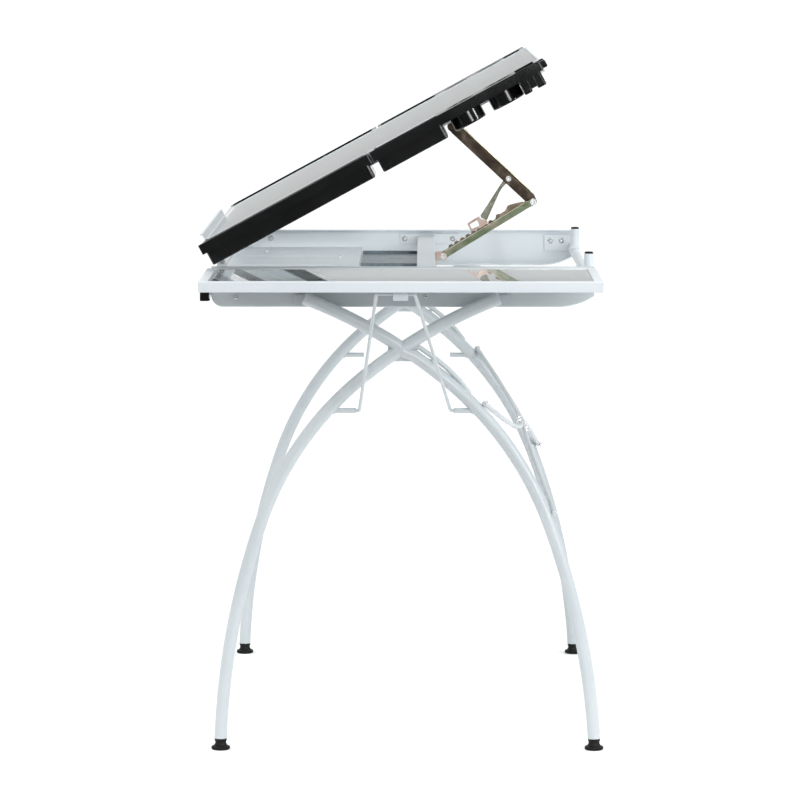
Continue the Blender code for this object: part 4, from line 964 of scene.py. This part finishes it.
def rim_frame(x, y, inner_x, inner_y, radius, low, high, hole_radius=0.004):
    """The skirt round a tray: outer face, softly rounded top edge, opening inside."""
    soft, sheet = 0.0012, 0.0018
    bm = bmesh.new()
    rings = []
    outside = ((sheet, low), (0, low), (0, high - soft), (soft * 0.3, high - soft * 0.3), (soft, high))
    for inset, z in outside:
        rings.append(ring_of(bm, x, y, inset, max(radius - inset, 0.0006), z))
    inside = ((-soft * 0.8, high), (-soft * 0.2, high - soft * 0.25), (0, high - soft), (0, high - 0.003))
    for inset, z in inside:
        rings.append(ring_of(bm, inner_x, inner_y, inset, hole_radius - inset, z))
    rings.append(ring_of(bm, x, y, sheet, max(radius - sheet, 0.0006), high - 0.003))
    skin(bm, rings, caps=False)
    for i in range(len(rings[0])):
        j = (i + 1) % len(rings[0])
        bm.faces.new((rings[-1][i], rings[-1][j], rings[0][j], rings[0][i]))
    return bm


def front_tray():
    x, inset = FRONT_TRAY_X, INSET + TRAY_WALL
    inner_x, inner_y = grown(x, -inset), grown(TRAY_Y, -inset)
    parts = [well(grown(x, -INSET), grown(TRAY_Y, -INSET), 0.0045)]
    parts.append(rim_frame(x, TRAY_Y, inner_x, inner_y, 0.0022, TRAY_TOP - SKIRT, TRAY_TOP))
    divider_x = around(FRONT_DIVIDER_X, TRAY_WALL / 2)
    divider_z = (TRAY_FLOOR + 0.001, TRAY_TOP - 0.001)
    parts.append(rbox(divider_x, grown(inner_y, 0.001), divider_z, 0.0006, 3))
    return parts


def cup(x, y, radius):
    """A round well with rounded foot and lip."""
    r, floor, top = radius, TRAY_FLOOR, TRAY_TOP
    profile = [(r - 0.0022, floor), (r - 0.0008, floor + 0.0004), (r - 0.0001, floor + 0.0018)]
    profile += [(r, floor + 0.003), (r, top - 0.0014), (r - 0.0004, top - 0.0009), (r - 0.0016, top - 0.0009)]
    profile += [(r - TRAY_WALL, top - 0.0014), (r - TRAY_WALL, floor + 0.004)]
    profile += [(r - 0.003, floor + 0.0024), (r - 0.0048, floor + 0.002)]
    return lathe(profile, 96, (x, y, 0))


def back_tray(with_tabs):
    x, sheet = BACK_TRAY_X, 0.0018
    well_y, pen_y = grown(TRAY_Y, -INSET), grown(TRAY_Y, -0.012)
    middle = (TRAY_Y[0] + TRAY_Y[1]) / 2
    through = (TRAY_TOP - 0.02, TRAY_TOP + 0.01)
    cutters = []
    for hole_x, hole_y, radius in ((BOX_CELL, well_y, 0.004), (PEN_BLOCK, pen_y, 0.003)):
        outline = rounded(grown(hole_x, -TRAY_WALL), grown(hole_y, -TRAY_WALL), radius)
        cutters.append(plate(outline, through, "z", 0))
    for cup_x, radius in CUPS:
        cutters.append(peg(radius - TRAY_WALL, *through, 64, (cup_x, middle, 0)))
    deck = rbox(grown(x, -sheet), grown(TRAY_Y, -sheet), (TRAY_TOP - 0.0034, TRAY_TOP - 0.0006), 0)
    parts = [bevelled(boolean(deck, cutters), 0.0005, 2, 50.0)]
    inner_x, inner_y = grown(x, -0.0022), grown(TRAY_Y, -0.0022)
    parts.append(rim_frame(x, TRAY_Y, inner_x, inner_y, 0.0022, TRAY_TOP - SKIRT, TRAY_TOP, 0.002))
    parts.append(well(BOX_CELL, well_y, 0.0045, top=TRAY_TOP - 0.0012))
    parts += [cup(cup_x, middle, radius) for cup_x, radius in CUPS]
    parts.append(well(PEN_BLOCK, pen_y, 0.0022, floor=TRAY_FLOOR + PEN_STEP, top=TRAY_TOP - 0.0012))
    for column in PEN_COLUMNS:
        outline = rounded(grown(column, 0.0001), grown(pen_y, 0.0001), 0.0022)
        parts.append(plate(outline, (TRAY_FLOOR, TRAY_FLOOR + PEN_STEP + 0.004), "z"))
        for rib_x in column:
            rib = [(rib_x, pen_y[0] + 0.0004, z) for z in (TRAY_FLOOR + 0.001, TRAY_TOP - 0.006)]
            parts.append(pipe(rib, 0.0009, 12, 0.0004))
    if with_tabs:
        root, tip = x[1] - 0.0017, x[1] + 0.0085
        hook = [(root, 0.029), (tip - 0.002, 0.0283), (tip, 0.0298)]
        hook += [(tip, 0.0385), (tip - 0.002, 0.0403), (root, 0.04)]
        parts += [plate(hook, clip, "y", 0.0006, 3) for clip in ((-0.4205, -0.4105), (-0.502, -0.492))]
    return parts


def trays():
    """The trays hang beside the top; their inner walls stand lower than its edge."""
    for side, where in ((1, "near"), (-1, "far")):
        matrix = TOP if side > 0 else TOP @ MIRROR
        for end, parts in (("front", front_tray()), ("back", back_tray(side > 0))):
            name = f"tray_{where}_{end}"
            for part in parts:
                for vert in part.verts:
                    if vert.co.z > 0.034:
                        slope = (vert.co.y + TRAY_IN + 0.013) / 0.009
                        vert.co.z -= INNER_DROP * max(0, min(1.0, slope))
            drop = Matrix.Translation((0, 0, 0.0 if side > 0 else -FAR_DROP))
            node_piece(name, parts, TRAY_BLACK, name, matrix @ drop, 34.0)


# Ratchet support

SHEET, PIN = 0.0018, 0.0029
LOWER_HALF, UPPER_HALF = 0.013, 0.0086


def softened(outline, radius, steps=4):
    """A closed outline with each corner rounded."""
    points = []
    for i, corner in enumerate(outline):
        before, after = Vector(outline[i - 1]), Vector(outline[(i + 1) % len(outline)])
        corner = Vector(corner)
        back, ahead = before - corner, after - corner
        size = min(radius, back.length * 0.45, ahead.length * 0.45)
        back, ahead = back.normalized() * size, ahead.normalized() * size
        for k in range(steps + 1):
            t = k / steps
            point = corner + back * (1 - t) ** 2 + ahead * t * t
            points.append((point.x, point.y))
    return points


def rectangle(u, v):
    return [(u[0], v[0]), (u[1], v[0]), (u[1], v[1]), (u[0], v[1])]


def u_section(half, low, high, bend=0.0026):
    """Outline across a channel: two flanges and a web joined by round bends."""
    inner = bend - SHEET
    left, right = (bend - half, low + bend), (half - bend, low + bend)
    outline = [(-half, high)] + arc(left, bend, 180, 270, 6) + arc(right, bend, 270, 360, 6)
    outline += [(half, high), (half - SHEET, high)] + arc(right, inner, 360, 270, 4)
    return outline + arc(left, inner, 270, 180, 4) + [(SHEET - half, high)]


def channel(length, half, low, high, eye, mouth, bore):
    parts = [plate(u_section(half, low, high), mouth, "x", 0.0003)]
    for side in (-1, 1):
        span = (side * half, side * (half - SHEET))
        for flip, start in ((1, 0), (-1, length)):
            end = mouth[0] if flip > 0 else length - mouth[1]
            ear = arc((0, 0), eye, 110, 250, 24) + [
                (eye, low), (end + 0.0006, low + 0.0006), (end + 0.0006, high), (eye, high)
            ]
            ear = [(start + flip * u, v) for u, v in ear]
            ear = plate(ear, span, "y", 0)
            if bore:
                ear = boolean(ear, [peg(bore, -0.04, 0.04, 32, (start, 0, 0), ALONG_Y)])
            parts.append(bevelled(ear, 0.0004, 2, 50.0))
    return parts


def ratchet():
    low, high = LOWER_HALF + 0.0004, LOWER_HALF + 0.0024
    back = 0.0468
    x, z = ARM_PIVOT.x, ARM_PIVOT.z
    web = softened(rectangle((-high, high), (0.726, 0.751)), 0.003)
    parts = [plate(web, (back, back + SHEET), "x", 0.0004)]
    for side in (-1, 1):
        outline = arc((x, z), 0.0065, -90, 90, 24) + [
            (back + 0.0012, z + 0.0065), (back, z + 0.005), (back, z - 0.005), (back + 0.0012, z - 0.0065)
        ]
        parts.append(plate(outline, (side * low, side * high)))
    node_piece("arm_bracket", parts, COPPER)
    parts = [peg(PIN, -high, high, 28, (x, 0, z), ALONG_Y)]
    for side in (-1, 1):
        parts += rivet((x, side * (high - 0.0002), z), (0, side, 0), 0.0045, 0.0021)
    piece("arm_bracket_pin", parts, STEEL, "stand")

    lower = channel(LOWER_LENGTH, LOWER_HALF, -0.005, 0.0058, 0.0058, (0.012, LOWER_LENGTH - 0.0185), 0.0033)
    node_piece("lower_arm", lower, YELLOW, "lower_arm", LOWER_ARM)

    # Thin cream strips along the flange tops: painted highlight on the edges that catch the light.
    highlight_strips = []
    for side in (-1, 1):
        y = side * (LOWER_HALF - SHEET / 2)
        highlight_strips.append(rbox((0.007, LOWER_LENGTH - 0.007), around(y, 0.001), (0.0053, 0.0063), 0.0004))
    piece("lower_arm_edge_highlights", highlight_strips, HIGHLIGHT_ZINC, "lower_arm", [], LOWER_ARM)

    floor, edge = -0.0029, 0.0062
    outline = [(0.013, floor), (LOWER_LENGTH - 0.015, floor), (LOWER_LENGTH - 0.015, edge + 0.002)]
    hump = [
        (0.032, 0.0074), (0.038, 0.0086), (0.041, 0.0084), (0.0445, 0.0056), (0.0475, 0.004), (0.057, 0.0038),
        (0.06, 0.0052), (0.064, 0.0058), (0.068, 0.001)
    ]
    hump = [(LOWER_LENGTH - back, edge + rise) for back, rise in hump]
    teeth, tooth = [], 0.0116
    for i in reversed(range(8)):
        start = 0.015 + i * tooth * 0.95
        if start + tooth <= LOWER_LENGTH - 0.068:
            teeth += [
                (start + 0.0085, edge), (start + 0.0065, edge + 0.0035), (start + 0.001, edge + 0.003),
                (start, edge)
            ]
    outline = softened(outline + hump + teeth + [(0.013, edge)], 0.0007, 2)
    node_piece("tooth_rack", [plate(outline, (0.0091, 0.0109), bevel=0.0003)], RACK, "lower_arm", LOWER_ARM)

    reach = LOWER_HALF + GAP
    shank = ((PIN, -reach - 0.001), (PIN, reach + 0.0036), (PIN - 0.0005, reach + 0.004))
    bolt = [lathe(shank, 28, (LOWER_LENGTH, 0, 0), ALONG_Y)]
    bolt += rivet((LOWER_LENGTH, -reach, 0), (0, -1.0, 0), 0.0055, 0.003)
    bolt.append(lathe(((0.0055, 0), (0.0055, 0.003), (0.0047, 0.0035)), 6, (LOWER_LENGTH, reach, 0), ALONG_Y))
    node_piece("elbow_bolt", bolt, STEEL, "lower_arm", LOWER_ARM)

    upper = channel(UPPER_LENGTH, UPPER_HALF, -0.0098, 0.0083, 0.0064, (0.015, UPPER_LENGTH - 0.0085), 0)
    node_piece("upper_arm", upper, BROWN, "upper_arm", UPPER_ARM)
    # A cream strip over the web's outer face: painted highlight of the lit web.
    strip = rbox((0.0155, UPPER_LENGTH - 0.009), (GAP - UPPER_HALF, UPPER_HALF - GAP), (-0.0116, -0.0097), 0.0006)
    piece("upper_arm_web_highlight", [strip], HIGHLIGHT_ZINC, "upper_arm", [], UPPER_ARM)
    pins = [peg(PIN, 0.0002 - UPPER_HALF, UPPER_HALF - 0.0002, 28, (UPPER_LENGTH, 0, 0), ALONG_Y)]
    pins.append(peg(0.0024, -UPPER_HALF, UPPER_HALF, 24, (STRUT_ALONG, 0, 0), ALONG_Y))
    for side in (-1, 1):
        pins += rivet((STRUT_ALONG, side * UPPER_HALF, 0), (0, side, 0), 0.0045 if side < 0 else 0.0032, 0.0018)
    piece("upper_arm_pins", pins, STEEL, "upper_arm", [], UPPER_ARM)

    outline = arc((0, 0), 0.0047, 90, 270, 24) + [
        (0.0121, -0.0065), (STRUT_LENGTH + 0.001, -0.0119), (STRUT_LENGTH + 0.0034, -0.0095)
    ]
    outline += [(STRUT_LENGTH + 0.002, 0.0008), (0.0269, -0.0026), (0.018, -0.0018), (0.011, 0), (0.006, 0.003)]
    body = []
    for low, high in ((-0.0045, -0.0029), (0.0029, 0.0045)):
        hole = peg(0.0028, -0.02, 0.02, 32, (0, 0, 0), ALONG_Y)
        body.append(drilled(outline, (low, high), hole))
    web = [(0.014, -0.0067), (STRUT_LENGTH, -0.0118), (STRUT_LENGTH, -0.0102), (0.014, -0.0051)]
    body.append(plate(web, (-0.0043, 0.0043)))
    node_piece("strut", body, OLIVE, "strut", STRUT)

    outer = [
        (-0.03, -0.003), (-0.01, -0.006), (0.001, -0.005), (0.0022, 0.0005), (-0.006, 0.006), (-0.005, 0.0122),
        (-0.029, 0.0122)
    ]
    inner = [(-0.0268, 0.0003), (-0.013, -0.0018), (-0.0115, 0.009), (-0.0258, 0.009)]
    loop = plate(softened(outer, 0.0022, 5), (-0.0062, 0.0062), "y", 0)
    loop = boolean(loop, [plate(softened(inner, 0.0016, 4), (-0.02, 0.02), "y", 0)])
    turn = Matrix.Translation((STRUT_LENGTH + 0.0042, 0, 0)) @ Matrix.Rotation(STRUT_ANGLE - LOWER_ANGLE, 4, "Y")
    loop = bevelled(loop, 0.0004, 2, 50.0)
    loop.transform(turn)
    node_piece("strut_clip", [loop], COPPER, "strut", STRUT)


# Side shelf and stay

SHELF_X, SHELF_Y, SHELF_Z = (-0.3087, 0.2943), (-0.7097, -0.4505), (0.7435, 0.7596)
SHELF_RAIL, SHELF_REBATE, SHELF_GLASS = 0.0186, 0.0046, 0.004
SHELF_AXIS = Vector((0, -0.444, 0.7385))
HINGES_X = (-0.22, 0.21)
HINGE = 0.003


def shelf():
    body = "shelf"
    inner_x, inner_y = grown(SHELF_X, -SHELF_RAIL), grown(SHELF_Y, -SHELF_RAIL)
    floor = SHELF_Z[1] - SHELF_GLASS - 0.0008
    rebate_x, rebate_y = grown(inner_x, SHELF_REBATE), grown(inner_y, SHELF_REBATE)
    rebate = (rebate_x, rebate_y, (floor, SHELF_Z[1] + 0.01))
    soft = 0.0011
    node_piece(
        "shelf_rail_outer", [cut_box(SHELF_X, (SHELF_Y[0], inner_y[0]), SHELF_Z, [rebate], soft)], PAINT, body
    )
    inner_rail = [cut_box(SHELF_X, (inner_y[1], SHELF_Y[1]), SHELF_Z, [rebate], soft)]
    pins = []
    y, z = SHELF_AXIS.y, SHELF_AXIS.z
    for x in HINGES_X:
        start = x + HINGE + 0.0005
        root = SHELF_Z[0] + 0.001
        strap = arc((y, z), 0.0055, -90, 65, 20) + [(y - 0.0065, root), (y - 0.02, root), (y - 0.018, z)]
        hole = peg(0.0026, -0.02, 0.02, 28, (start, y, z), ALONG_X)
        inner_rail.append(drilled(strap, (start, start + HINGE), hole, "x"))
        inner_rail.append(rbox(
            (start - 0.006, start + HINGE + 0.004), (y - 0.023, y - 0.01),
            (SHELF_Z[0] - 0.0016, SHELF_Z[0] + 0.0004), 0.0006
        ))
        pins += screw_head((start + 0.0016, y - 0.0215, SHELF_Z[0] - 0.0014), (0, 0, -1.0), 0.0024)
    node_piece("shelf_rail_inner", inner_rail, PAINT, body)
    piece("shelf_hinge_screws", pins, STEEL, body)
    side_y = grown(inner_y, -GAP)
    for end, x in (("front", (SHELF_X[0], inner_x[0])), ("back", (inner_x[1], SHELF_X[1]))):
        node_piece(f"shelf_rail_{end}", [cut_box(x, side_y, SHELF_Z, [rebate], soft)], PAINT, body)
    pane = rbox(grown(rebate_x, -GAP), grown(rebate_y, -GAP), (floor + GAP, floor + GAP + SHELF_GLASS), 0.0005)
    node_piece("shelf_glass", [pane], GLASS, body)

    face = -PANEL_FACE - GAP
    for x, name in zip(HINGES_X, ("shelf_lug_front", "shelf_lug_back")):
        lug = arc((y, z), 0.0055, 90, 270, 20) + [(face - 0.0005, z - 0.0055), (face - 0.0005, z + 0.0055)]
        parts = [plate(lug, (x, x + HINGE), "x", 0.0005, 3)]
        base = softened(rectangle((x - 0.008, x + 0.011), (z - 0.0085, z + 0.0075)), 0.002)
        parts.append(plate(base, (face - 0.0015, face), bevel=0.0004))
        pin_end = x + 2 * HINGE + 0.003
        pin = ((0.0022, 0), (0.0022, pin_end - x - 0.0015), (0.0018, pin_end - x - 0.001))
        parts.append(lathe(pin, 24, (x + 0.001, y, z), ALONG_X))
        node_piece(name, parts, PAINT)
        bolts = rivet((x, y, z), (-1.0, 0, 0), 0.0034, 0.0014)
        for dx in (-0.0045, 0.0075):
            bolts += screw_head((x + dx, face - 0.0015, z - 0.001), (0, -1.0, 0), 0.0019)
        piece(f"{name}_screws", bolts, STEEL, "stand")


def stay():
    length, radius = 0.3184, 0.0026
    middle = LEG_SHIFT - 0.004
    end_x = SOCKET_END_X + 0.015 - 0.002
    corners = [(middle - end_x, 0, 0), (middle - 0.071, 0, 0), (-0.0436, 0, length)]
    corners += [(0.0138, 0, length), (middle + 0.071, 0, 0), (middle + end_x, 0, 0)]
    wire = pipe(smooth_path(corners, 0.0045, 10), radius, 24, 0.0008)
    node_piece("stay", [wire], SHADED_PAINT, "stay", STAY)
    outline = softened(rectangle((-0.019, 0.0038), (-0.01, 0.0015)), 0.0028, 6)
    head = plate(outline, (-0.0018, 0), segments=3)
    turn = Matrix.Translation((0, 0, length)) @ Matrix.Rotation(-STAY_ANGLE, 4, "X")
    head.transform(turn @ Matrix.Translation((0, -radius - GAP, 0)))
    node_piece("stay_head_plate", [head], PAINT, "stay", STAY)


legs()
levelers()
side_panels()
base_frame()
braces()
stand_fasteners()
top_frame()
pencil_ledge()
pivot_brackets()
trays()
ratchet()
shelf()
stay()
